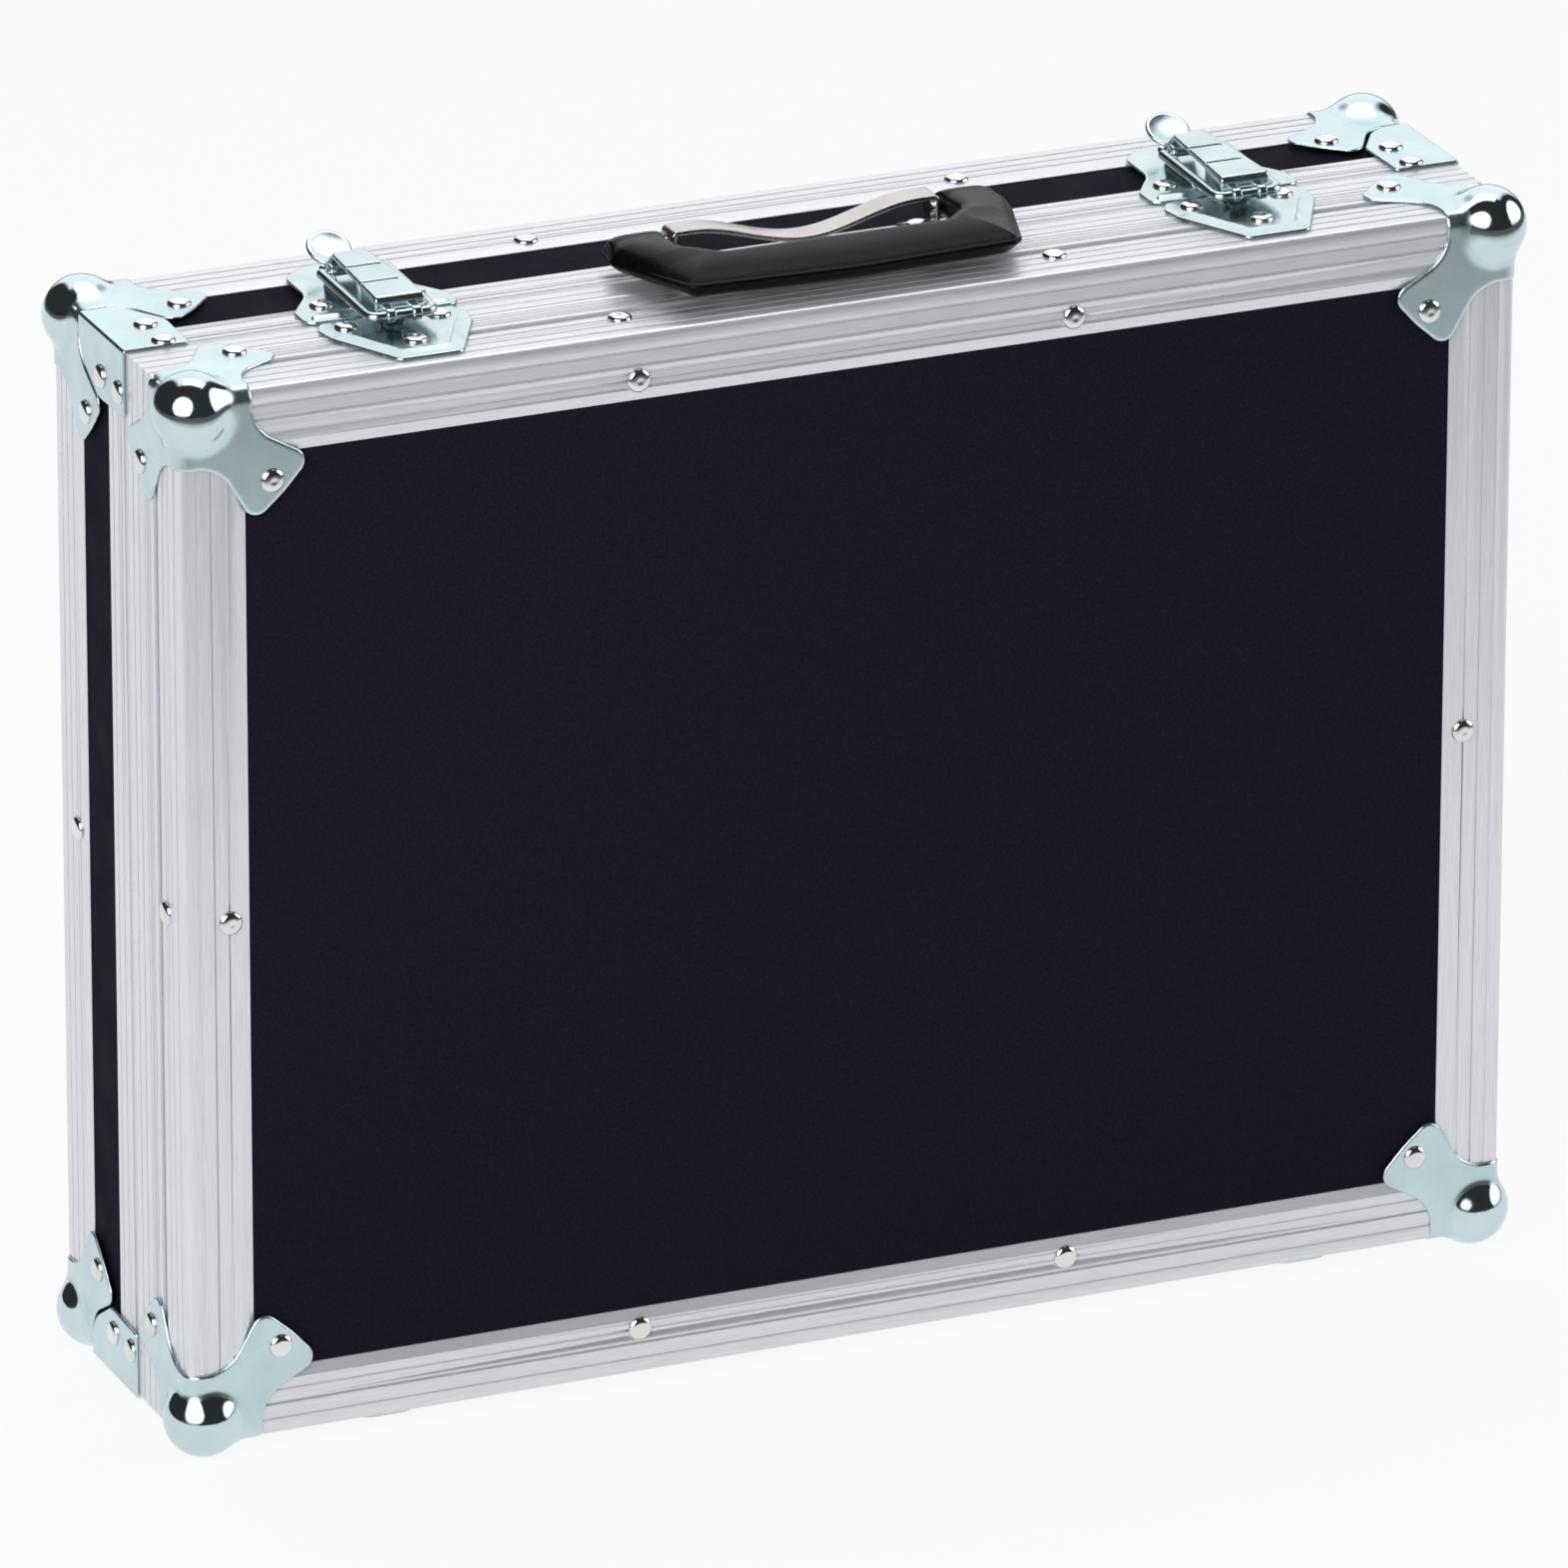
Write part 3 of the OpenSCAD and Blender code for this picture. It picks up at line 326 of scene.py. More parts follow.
def surface(field, low, step):
    """Vertices and quads where the field changes sign."""
    neg = field < 0
    size = np.array(field.shape) - 1
    corners = [np.array((a, b, c)) for a in (0, 1) for b in (0, 1) for c in (0, 1)]
    count = sum(neg[a:a + size[0], b:b + size[1], c:c + size[2]].astype(int)
                for a, b, c in corners)
    active = (count > 0) & (count < 8)
    cells = np.argwhere(active)
    index = np.full(tuple(size), -1)
    index[active] = np.arange(len(cells))
    total, hits = np.zeros((len(cells), 3)), np.zeros(len(cells))
    for a in corners:
        for axis in range(3):
            if a[axis]:
                continue
            b = a.copy()
            b[axis] = 1
            fa, fb = field[tuple((cells + a).T)], field[tuple((cells + b).T)]
            cut = (fa < 0) != (fb < 0)
            t = np.where(cut, fa / np.where(cut, fa - fb, 1), 0)
            total[cut] += (a + t[:, None] * (b - a))[cut]
            hits[cut] += 1
    points = np.array(low) + step * (cells + total / hits[:, None])
    quads = []
    for axis in range(3):
        u, v = (axis + 1) % 3, (axis + 2) % 3
        first = np.take(neg, range(neg.shape[axis] - 1), axis)
        second = np.take(neg, range(1, neg.shape[axis]), axis)
        at = np.argwhere(first != second)
        at = at[(at[:, u] > 0) & (at[:, v] > 0) & (at[:, u] < size[u]) & (at[:, v] < size[v])]
        du, dv = np.eye(3, dtype=int)[u], np.eye(3, dtype=int)[v]
        loop = [index[tuple((at - d).T)] for d in (du + dv, dv, 0 * du, du)]
        faces = np.stack(loop, 1)
        outward = first[tuple(at.T)]
        faces[~outward] = faces[~outward][:, ::-1]
        quads.append(faces)
    return points, np.concatenate(quads)

def shape(name, points, faces, body, material, finish, *stands_for):
    """A smooth mesh from points in millimetres, riding on a body in place of CAD nodes."""
    mesh = bpy.data.meshes.new(name)
    mesh.from_pydata((np.asarray(points) / 1000).tolist(), [], np.asarray(faces).tolist())
    mesh.materials.append(material)
    mesh.shade_smooth()
    piece = bpy.data.objects.new(name, mesh)
    scene.collection.objects.link(piece)
    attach(piece, body)
    if stands_for:
        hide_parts(*stands_for)
    return piece
print("field tools ready")

# %% [markdown]
# Sheet parts are cut to outlines with rounded corners. Writing each corner as x, y and radius
# keeps an outline readable, like a drawing with dimensions. The first helper turns it into
# points, and the second adds the other half of an outline that is the same on both sides.

# %% Rounded outlines
def rounded(points, steps=8):
    """Points along an outline whose corners are given as x, y and radius."""
    out = []
    n = len(points)
    for i, (x, y, r) in enumerate(points):
        here = np.array((x, y), float)
        if r == 0:
            out.append(here)
            continue
        a = np.array(points[i - 1][:2]) - here
        b = np.array(points[(i + 1) % n][:2]) - here
        a, b = a / np.linalg.norm(a), b / np.linalg.norm(b)
        half = math.acos(np.clip(a @ b, -1, 1)) / 2
        mid = (a + b) / np.linalg.norm(a + b)
        centre = here + mid * r / math.sin(half)
        start = here + a * r / math.tan(half)
        first = math.atan2(*(start - centre)[::-1])
        sweep = (math.pi - 2 * half) * (-1 if a[0] * b[1] - a[1] * b[0] > 0 else 1)
        out += [centre + r * np.array((math.cos(first + sweep * k / steps),
                                       math.sin(first + sweep * k / steps)))
                for k in range(steps + 1)]
    return out

def both_sides(half, *middle):
    """The right half of an outline, the points in the middle and the left half."""
    return half + list(middle) + [(-x, y, r) for x, y, r in half[::-1]]

square = rounded(both_sides([(9, 0, 1), (9, 9, 1)]))
print("a square with round corners has", len(square), "points")

# %% [markdown]
# A real case has the same corner eight times and the same brace four times, so each is drawn
# once, at the lower left front of the case, and mirrored to its other places. Mirroring the
# points alone would leave the faces looking inwards, so they are turned round as well.

# %% Places
HALF_W, HALF_D, HEIGHT, FOOT = 235.0, 56.0, 364.0, 6.0
OPENING, TOP_FACE = -10.0, FOOT + HEIGHT

def placed(points, faces, y, right, high, rear=False):
    """Points and faces of a part at a corner of the case, with its origin at this y."""
    sign = np.array([-1 if far else 1 for far in (right, rear, high)])
    origin = np.array((HALF_W if right else -HALF_W, y, TOP_FACE if high else FOOT))
    return origin + sign * points, faces if sign.prod() > 0 else faces[:, ::-1]

def spot(right, high):
    return f"{'top' if high else 'bottom'}_{'right' if right else 'left'}"
print("places such as", spot(True, True), "at", placed(np.zeros(3), None, 0, False, False)[0])

# %% [markdown]
# A ball corner is pressed from one sheet: three legs lie on the case's faces, and a ball in
# the middle takes the knocks. A sphere on three plates would meet them in hard lines, which
# no press makes, so the ball and the legs are fields joined with a rounded root. The faces
# near the ball take the brighter zinc. Every sheet keeps a hair of air above the face that
# it lies on, so that the two never flicker through each other.

# %% Ball corners
SHEET, BEND, AIR = 1.2, 4.3, 0.04
BALL_R, BALL_IN, BALL_ROOT = 13.0, 7.0, 3.2
CORNER_LEG = [(-4, -4, 0), (25, -4, 0), (25, 7.5, 1), (27.2, 14.5, 14), (45.6, 25, 4.8),
              (35.9, 35.9, 20), (25, 45.6, 4.8), (14.5, 27.2, 14), (7.5, 25, 1), (-4, 25, 0)]

def corner_mesh(step):
    low = (-7.5, -7.5, -7.5)
    axes = x, y, z = grid(low, (47, 47, 47), step)
    outline = rounded(CORNER_LEG)
    legs = np.minimum.reduce([np.maximum(prism(axes, i, outline), axes[i] - 4)
                              for i in (0, 1, 2)])
    bend = np.sqrt(sum(np.maximum(BEND - c, 0) ** 2 for c in axes)) - BEND
    plates = smooth_max(bend - SHEET, legs, 0.8)
    ball = np.sqrt(sum((c - BALL_IN) ** 2 for c in axes)) - BALL_R
    return surface(np.maximum(smooth_min(ball, plates, BALL_ROOT), AIR - bend), low, step)

corner_points, corner_faces = corner_mesh(step=0.55)
middles = corner_points[corner_faces].mean(1)
NEAR_BALL = BALL_R + 0.9
is_ball = np.linalg.norm(middles - BALL_IN, axis=1) < NEAR_BALL
for rear in (False, True):
    for high in (False, True):
        for right in (False, True):
            name = f"{'rear' if rear else 'front'}_corner_{spot(right, high)}"
            points, faces = placed(corner_points, corner_faces, HALF_D if rear else -HALF_D,
                                   right, high, rear)
            corner = shape("pressed_" + name, points, faces, "base" if rear else "lid", zinc,
                           "corner", name)
            corner.data.materials.append(zinc_ball)
            corner.data.polygons.foreach_set("material_index", is_ball.astype(np.int32))
print("one corner has", len(corner_faces), "faces; made 8")

# %% [markdown]
# Where the lid meets the base, a bent brace stiffens each corner of the base. It is the same
# leg on two faces with a round bend between them. A plain bevel would round its outer edge
# but not the bend of the sheet, so this is a field too: the outline seen from two sides, and
# a skin that goes round the edge of the case.

# %% Braces
BRACE_LEG = [(-4, 0.3, 0), (22, 0.3, 1.5), (22.6, 20.5, 10), (22.2, 24, 1),
             (13.4, 38.3, 14), (7.2, 40.6, 1), (-4, 40.6, 0)]

def brace_mesh(step):
    low = (-2.5, -0.5, -2.5)
    axes = x, y, z = grid(low, (24, 42, 24), step)
    outline = rounded(BRACE_LEG)
    leg_z = prism(axes, 2, outline)
    leg_x = prism(axes, 0, [(b, a) for a, b in outline])
    skin = np.sqrt(np.maximum(-x, 0) ** 2 + np.maximum(-z, 0) ** 2) - SHEET
    legs = np.minimum(np.maximum(leg_z, z - 1), np.maximum(leg_x, x - 1))
    inside_box = -np.maximum(-x, -z)
    return surface(np.maximum(smooth_max(skin, legs, 0.7), inside_box + AIR), low, step)

brace_points, brace_faces = brace_mesh(step=0.45)
for high in (False, True):
    for right in (False, True):
        name = "corner_brace_" + spot(right, high)
        points, faces = placed(brace_points, brace_faces, OPENING, right, high)
        shape("bent_" + name, points, faces, "base", zinc, "corner", name)
print("one brace has", len(brace_faces), "faces; made 4")

# %% [markdown]
# Bails, hinge leaves and profiles keep their CAD shape but get broken edges, because no real
# edge is razor sharp, and it is the rounded edge that catches a thin line of light. The copy
# is first cleaned of the flat triangles that CAD leaves, then bevelled. On the profiles only
# the long edges are bevelled: rounding every rivet hole too would cost many faces that no
# one sees.

# %% Broken edges
WELD = 2e-6

def broken_edges(name, width, body, material, segments=2, longer=None):
    """A copy of a CAD node in its place, with edges rounded over a width in millimetres.

    With longer given, only outward edges above that length in metres are rounded."""
    mesh = nodes[name].data.copy()
    work = bmesh.new()
    work.from_mesh(mesh)
    bmesh.ops.remove_doubles(work, verts=work.verts, dist=WELD)
    bmesh.ops.dissolve_limit(work, angle_limit=math.radians(1), verts=work.verts,
                             edges=work.edges)
    if longer:
        weight = work.edges.layers.float.new("bevel_weight_edge")
        for e in work.edges:
            if len(e.link_faces) == 2 and e.is_convex and e.calc_length() > longer:
                e[weight] = float(e.calc_face_angle() > math.radians(30))
    work.to_mesh(mesh)
    work.free()
    mesh.materials.clear()
    mesh.materials.append(material)
    piece = bpy.data.objects.new("soft_" + name, mesh)
    scene.collection.objects.link(piece)
    edge = piece.modifiers.new("edges", "BEVEL")
    edge.width = width / 1000
    edge.segments = segments
    edge.limit_method = "WEIGHT" if longer else "ANGLE"
    edge.angle_limit = math.radians(35)
    edge.harden_normals = bool(longer)
    mesh.shade_smooth()
    mesh.set_sharp_from_angle(angle=math.radians(40))
    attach(piece, body)
    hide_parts(name)
    return piece

for side in ("left", "right"):
    broken_edges(f"latch_bail_{side}", 0.4, f"bail_{side}", plated)
for name, body in (("hinge_base_leaves", "base"), ("hinge_lid_leaves", "lid")):
    broken_edges(name, 0.2, body, plated)
profiles = [name for name in nodes if "_edge_" in name or "_closing_" in name]
for name in profiles:
    body = "lid" if name.startswith(("lid_", "front_")) else "base"
    broken_edges(name, 0.33, body, material_for(name), longer=0.015)
print("softened the edges of bails, hinges and", len(profiles), "profiles")

# %% [markdown]
# A draw latch has a strike on the lid, a rear plate on the base, and between them a bail and
# a lever. All are pressed, so they are drawn as fields, each about the latch's middle, the
# opening line and the top face. The strike comes first. Its front half has a raised band
# that slopes down to the edge and stiffens the sheet, and the catch stands upright near the
# opening line.

# %% Strikes
HALF_SHEET = SHEET / 2
CATCH_Y, CATCH_HALF, CATCH_TOP = -6.2, 4.5, 5.3

def strike_mesh(step):
    low = (-27, -42.6, -0.8)
    axes = x, y, z = grid(low, (27, 0.6, 6.4), step)
    half = [(11, -41, 3), (24.5, -15, 5), (25.8, -7, 4), (23, -0.8, 2)]
    edge = prism(axes, 2, rounded(both_sides(half)))
    plate = smooth_max(edge, np.abs(z - HALF_SHEET) - HALF_SHEET, 0.5)
    slope = np.maximum(z - 0.85 + 0.34 * edge, -edge - 5)
    hem = smooth_max(smooth_max(slope, edge, 0.5), y + 14.5, 0.8)
    catch = np.maximum(np.abs(x) - CATCH_HALF, np.abs(y - CATCH_Y) - HALF_SHEET)
    catch = smooth_max(catch, z - CATCH_TOP, 0.3)
    strike = smooth_min(smooth_min(plate, hem, 0.5), catch, 0.4)
    return surface(np.maximum(strike, AIR - z), low, step)

strike = strike_mesh(step=0.4)
print("strike:", len(strike[1]), "faces")

# %% [markdown]
# The rear plate is riveted to the base and carries the bail between two ears. Its outline is
# waisted, and a sloping lip stands at each side of the opening line. Ears and lips are cut
# out of the same sheet, so they are joined to the plate within the field and not set on it
# as loose pieces.

# %% Rear plates
PIN_Y, PIN_Z, EYE_R = 27.0, 7.2, 3.05
LIP_X, LIP_HALF, EAR_X, EAR_HALF = 18.1, 5.6, 8.1, 0.7

def plate_mesh(step):
    low = (-28, -0.2, -0.8)
    axes = x, y, z = grid(low, (28, 53.6, 10.8), step)
    half = [(26.8, 0.8, 4), (26.8, 12, 5), (17.5, 26, 10), (17.5, 44, 8), (9, 52.5, 8)]
    edge = prism(axes, 2, rounded(both_sides(half)))
    plate = smooth_max(edge, np.abs(z - HALF_SHEET) - HALF_SHEET, 0.5)
    slope = smooth_max(np.maximum(z - 0.7 - 0.4 * y, y - 4.6), 0.8 - y, 0.4)
    lips = smooth_max(slope, np.abs(np.abs(x) - LIP_X) - LIP_HALF, 1.0)
    side = prism(axes, 0, [(4, 0), (32, 0), (PIN_Y + 3, PIN_Z), (PIN_Y - 3, PIN_Z)])
    side = np.minimum(side, np.hypot(y - PIN_Y, z - PIN_Z) - EYE_R)
    ears = smooth_max(side, np.abs(np.abs(x) - EAR_X) - EAR_HALF, 0.4)
    rear_plate = np.minimum(smooth_min(plate, lips, 0.5), ears)
    return surface(np.maximum(rear_plate, AIR - z), low, step)

rear_plate = plate_mesh(step=0.4)
print("rear plate:", len(rear_plate[1]), "faces")

# %% [markdown]
# The lever is a folded box that narrows towards the rear, where an arm leads down to the
# thumb disc. Below its nose are the knuckles that turn on the bail, and the claw that pulls
# on the catch. The box is a solid with rounded folds, less a hollow inside, and two creases
# are pressed across its top.

# %% Levers
NOSE, TAIL, LEVER_TOP, NOSE_HALF, NARROWS = -13.9, 30.6, 12.4, 8.7, 2.6
BAR_Y, BAR_Z, BAR_BORE = -16.0, 6.5, 1.75

def lever_mesh(step):
    low = (-10, -19.4, 1.4)
    axes = x, y, z = grid(low, (10, 41, 13.6), step)
    wide = np.abs(x) - NOSE_HALF + NARROWS * (y - NOSE) / (TAIL - NOSE)
    wide = wide + 0.6 * ((y > 1.6) & (z < 11))
    side = prism(axes, 0, rounded([(NOSE, 5.2, 0.3), (NOSE, LEVER_TOP, 2.2),
                                   (TAIL, LEVER_TOP, 0.3), (TAIL, 9.6, 0.3), (1.6, 9.6, 0.3),
                                   (1.6, 5.1, 0.3)]))
    hollow = np.maximum(np.maximum(wide + SHEET, z - 11.2), -12.7 - y)
    shell = smooth_max(smooth_max(side, wide, 1.0), -hollow, 0.3)
    for crease in (1.6, 16.8):
        groove = 0.75 - np.hypot(y - crease, z - 12.45) - np.maximum(x - 5, 0)
        shell = smooth_max(shell, groove, 0.2)
    bar = np.hypot(y - BAR_Y, z - BAR_Z)
    knuckle = np.minimum(bar - 2.5, np.maximum(np.abs(y + 14.4) - 1.6, np.abs(z - 7.7) - 1.2))
    knuckle = np.maximum(np.maximum(knuckle, np.abs(np.abs(x) - 4.5) - 1.5), BAR_BORE - bar)
    claw = np.maximum.reduce([np.abs(x) - 2.6, np.abs(y + 7.75) - 0.65, np.abs(z - 7.1) - 4.7])
    arm = smooth_max(prism(axes, 0, [(28.6, 12.4), (31.4, 12.4), (39.9, 4.9), (39.4, 3.4),
                                     (38.4, 3.4), (30.2, 11.2), (28.6, 11.2)]),
                     np.abs(x) - 5.5, 0.4)
    return surface(np.minimum.reduce([shell, knuckle, claw, arm]), low, step)

lever = lever_mesh(step=0.36)
print("lever:", len(lever[1]), "faces")

# %% [markdown]
# The thumb disc is a shallow dish at the end of the lever's arm, leaning forward. For round
# parts the simplest way is the potter's: a profile of radius and height goes round an axis.
# With the disc made, both latches are set in their places.

# %% Thumb discs
def lathe(profile, steps):
    """Points and faces of a closed profile of radius and height, turned about +Z."""
    turn = np.arange(steps) * 2 * math.pi / steps
    points = np.array([(r * math.cos(a), r * math.sin(a), h) for r, h in profile for a in turn])
    ring = np.arange(len(profile) * steps).reshape(-1, steps)
    after = np.roll(ring, -1, 1)
    return points, np.stack([ring[:-1], after[:-1], after[1:], ring[1:]], -1).reshape(-1, 4)

DISC = [(0.02, -0.75), (6.9, -0.75), (7.4, -0.4), (7.5, 0.2), (7.3, 0.7), (6.8, 0.85),
        (6.2, 0.75), (5, 0.5), (3, 0.3), (0.02, 0.2)]
LEAN, DISC_AT = math.radians(28), (-1.3, 45.5, 8.6)
LATCH_X = {"left": -146.0, "right": 152.0}

disc_points, disc_faces = lathe(DISC, steps=48)
tilt = np.array(Matrix.Rotation(LEAN, 3, "X"))
disc = disc_points @ tilt.T + DISC_AT, disc_faces
for side, latch_x in LATCH_X.items():
    origin, arm = np.array((latch_x, OPENING, TOP_FACE)), "lever_" + side
    for kind, body, (points, faces) in (("strike", "lid", strike), ("plate", "base", rear_plate),
                                        ("lever", arm, lever)):
        shape(f"pressed_{kind}_{side}", origin + points, faces, body, plated, "nickel",
              f"latch_{kind}_{side}")
    shape("thumb_disc_" + side, origin + disc[0], disc[1], arm, plated, "nickel")
print("made two latches, each with a disc of", len(disc_faces), "faces")

# %% [markdown]
# A rivet head is low and round with a steep rim, which mirrors a dark crescent on one side
# and a white one on the other. The plain CAD heads can't do that, so each gets a turned one.
# Listing 86 places by hand would be long and easy to get wrong. Instead the CAD rivets are
# read as separate islands, and the widest ring of an island is the rim of its head, which
# gives the place and the direction of the new one.

# %% Rivets
HEAD_RIM = 4.0
HEAD = [(0.02, 1.5), (0.7, 1.5), (1.0, 1.57), (2.1, 1.5), (3.0, 1.26), (3.6, 0.92), (3.98, 0.45),
        (4.1, 0), (2, -0.2), (0.02, -0.2)]

def islands(mesh):
    """The points of each separate piece of a mesh, in millimetres."""
    work = bmesh.new()
    work.from_mesh(mesh)
    bmesh.ops.remove_doubles(work, verts=work.verts, dist=WELD)
    found, seen = [], set()
    for start in work.verts:
        if start in seen:
            continue
        seen.add(start)
        group = [start]
        for v in group:
            fresh = [e.other_vert(v) for e in v.link_edges if e.other_vert(v) not in seen]
            seen.update(fresh)
            group += list(dict.fromkeys(fresh))
        found.append(np.array([v.co for v in group]) * 1000)
    work.free()
    return found

def seat_of(points):
    """Where a rivet's head sits, and the axis and sign of the way it faces."""
    middle = (points.min(0) + points.max(0)) / 2
    for axis in range(3):
        others = [i for i in range(3) if i != axis]
        away = np.linalg.norm((points - middle)[:, others], axis=1)
        rim = points[away > HEAD_RIM, axis]
        if len(rim) > 8 and np.ptp(rim) < 0.05:
            middle[axis] = rim.mean()
            below = middle[axis] - points[:, axis].min()
            above = points[:, axis].max() - middle[axis]
            return middle, axis, 1 if below > above else -1
    return None

head_points, head_faces = lathe(HEAD, steps=28)
for name, body in (("base_rivets", "base"), ("lid_rivets", "lid")):
    points, faces = [], []
    for group in islands(nodes[name].data):
        seat = seat_of(group)
        if seat is None:
            print("left out an island of", len(group), "points in", name)
            continue
        middle, axis, sign = seat
        turned = np.roll(head_points * (1, sign, sign), axis - 2, axis=1)
        faces.append(head_faces[:, ::-1] + len(points) * len(head_points))
        points.append(middle + turned)
    shape("domed_" + name, np.concatenate(points), np.concatenate(faces), body, nickel,
          "nickel", name)
    print(name, "has", len(points), "heads")

# %% [markdown]
# The strap above the handle is one bent band of steel: flat at its feet, upright at its
# ends, and dipping in the middle to clear a hand. Like a strip through a bending tool, a
# section with round edges is carried along its middle line. That keeps its thickness the
# same everywhere, also in the tight bends.

# %% Strap
HANDLE_X = 4.0
STRAP_HALF, STRAP_FOOT, STRAP_FLAT = 47.5, 35.7, 7.0
STRAP_LOW, STRAP_HIGH, BAND, THICK, BAND_EDGE = 5.0, 12.8, 9.6, 1.6, 0.5

def strap_line():
    """Middle line of the band in x and z, from one foot to the other."""
    run, half, climb = STRAP_HALF - STRAP_FLAT, THICK / 2, (STRAP_HIGH - STRAP_LOW) / 2
    x = np.linspace(0, run, 26)[1:]
    rise = STRAP_LOW + climb * (1 - np.cos(np.pi * x / run))
    slope = climb * np.pi / run * np.sin(np.pi * x / run)
    length = np.hypot(slope, 1)
    side = [(a, b, 0) for a, b in zip(x + half * slope / length, rise - half / length)]
    side += [(STRAP_HALF - half, STRAP_HIGH - half, 1.7), (STRAP_HALF - half, half, 0.9),
             (STRAP_FOOT, half, 0)]
    return np.array(rounded([(-a, b, r) for a, b, r in side[::-1]] + side))

def swept(line, section):
    """Points and faces of a section, as y and thickness, carried along a line in x and z."""
    along = np.gradient(line, axis=0)
    along /= np.linalg.norm(along, axis=1)[:, None]
    across = np.stack([-along[:, 1], along[:, 0]], axis=1)
    ends = [0, *range(len(line)), len(line) - 1]
    size = np.array([0.02] + [1.0] * len(line) + [0.02])[:, None]
    y, t = section[:, 0] * size, section[:, 1] * size
    x = line[ends, :1] + t * across[ends, :1]
    z = line[ends, 1:] + t * across[ends, 1:]
    rows, columns = x.shape
    index = np.arange(rows * columns).reshape(rows, columns)
    near, far = index[:-1], index[1:]
    faces = np.stack([near, np.roll(near, -1, 1), np.roll(far, -1, 1), far], axis=-1)
    return np.stack([x, y, z], axis=-1).reshape(-1, 3), faces.reshape(-1, 4)

a, b = BAND / 2, THICK / 2
section = np.array(rounded([(-a, -b, BAND_EDGE), (a, -b, BAND_EDGE), (a, b, BAND_EDGE),
                            (-a, b, BAND_EDGE)], steps=4))
points, faces = swept(strap_line(), section)
shape("bent_strap", points + np.array((HANDLE_X, 0.0, TOP_FACE)), faces, "base", strap_steel,
      "nickel", "handle_strap")
print("strap:", len(faces), "faces")

# %% [markdown]
# The grip is a thick moulding around a steel core. Its outline is the CAD outline. Its
# section is like a cushion: thin at the outer rim, where a fine piping runs round, and full
# near the opening for the hand. As a field this is short to write, because the distance to
# the rim sets how thick the cushion is. The ends are round about the hinge pins, so that the
# grip can swing over without touching the case.

# %% Grip
GRIP_OUT, GRIP_IN, REACH, BAR = 71.0, 48.2, 49.0, 23.0
GRIP_R, KNUCKLE_R, CORE_R, PIPING_R = 6.7, 4.8, 3.0, 1.0
GRIP_AXIS = (HANDLE_X, 0.0, TOP_FACE + 7.6)

def grip_mesh(step):
    inner = -REACH + BAR
    half = [(GRIP_OUT - 3, 40, 0), (GRIP_OUT - 3, 5, 4), (GRIP_OUT, -9, 10),
            (GRIP_OUT - 12.5, -REACH + 2.5, 6)]
    outline = rounded(both_sides(half, (0, -REACH - 0.8, 120)))
    opening = rounded(both_sides([(GRIP_IN, 40, 0), (GRIP_IN, inner + 9, 4),
                                  (GRIP_IN - 9, inner, 5)]))
    low = (-73, -51, -8)
    axes = x, y, z = grid(low, (73, 8, 8), step)
    rim, hole = prism(axes, 2, outline), -prism(axes, 2, opening)
    full = 1 - np.exp(np.minimum(rim, 0) / np.interp(y, (-30, -5), (6.0, 2.4)))
    rim_z = np.interp(y, (-45, -5), (1.2, -1.4))
    thick = np.interp(y, (-22, -2), (GRIP_R, KNUCKLE_R))
    above = z - rim_z - (thick - rim_z) * full
    below = rim_z - z - (thick + rim_z) * full
    cushion = smooth_max(above, below, 0.6)
    body = smooth_max(np.maximum(cushion, rim), hole, 6.0)
    piping = np.hypot(rim + PIPING_R, z - rim_z) - PIPING_R
    body = np.minimum(body, np.maximum(piping, hole))
    core = np.maximum(np.hypot(y, z) - CORE_R, np.abs(np.abs(x) - 59) - 8.0)
    body = smooth_min(body, core, 3.0)
    knuckle = np.where(y > 0, np.hypot(y, z) - KNUCKLE_R, -9)
    return surface(smooth_max(body, knuckle, 1.0), low, step)

points, faces = grip_mesh(step=0.45)
shape("moulded_grip", points + np.array(GRIP_AXIS), faces, "grip", grip_skin, "grip",
      "handle_grip")
print("grip:", len(faces), "faces")

# %% [markdown]
# The foam can only be seen with the lid open. The insert is cut with sharp tools, so it keeps
# its pockets and gets only slightly soft edges. The lid's lining is egg-crate foam, whose
# face rises and falls in waves. A bump would leave it flat from the side, so the waves are in
# the mesh, and they fade out near the edge, where the sheet is glued down.

# %% Foam
def foam_piece(name, body):
    piece = broken_edges(name, 1.2, body, foam, 3)
    return piece

foam_piece("foam_insert", "base")
foam_piece("foam_floor", "base")

WAVE, SWING, FADE = 32.0, 6.0, 6.0

def egg_crate(name, nx=151, nz=111):
    """A sheet in the place of a CAD node, flat at the back and wavy on its inner face."""
    low, high = (np.array(v) * 1000 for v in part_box(name))
    x, z = np.meshgrid(np.linspace(low[0], high[0], nx), np.linspace(low[2], high[2], nz),
                       indexing="ij")
    wave = np.cos(x * 2 * math.pi / WAVE) * np.cos(z * 2 * math.pi / WAVE)
    to_edge = np.minimum.reduce([x - low[0], high[0] - x, z - low[2], high[2] - z])
    fade = np.clip(to_edge / FADE, 0, 1)
    face = high[1] - SWING + SWING * wave * fade - SWING / 2 * (1 - fade)
    front = np.stack([x, face, z], -1).reshape(-1, 3)
    rear = np.stack([x, np.full_like(x, low[1]), z], -1).reshape(-1, 3)
    at = np.arange(nx * nz).reshape(nx, nz)
    inner = np.stack([at[:-1, :-1], at[:-1, 1:], at[1:, 1:], at[1:, :-1]], -1).reshape(-1, 4)
    outer = inner[:, ::-1] + at.size
    rim = np.concatenate([at[:, 0], at[-1, 1:], at[-2::-1, -1], at[0, -2:0:-1]])
    after = np.roll(rim, -1)
    sides = np.stack([rim, after, after + at.size, rim + at.size], -1)
    return np.concatenate([front, rear]), np.concatenate([inner, outer, sides])

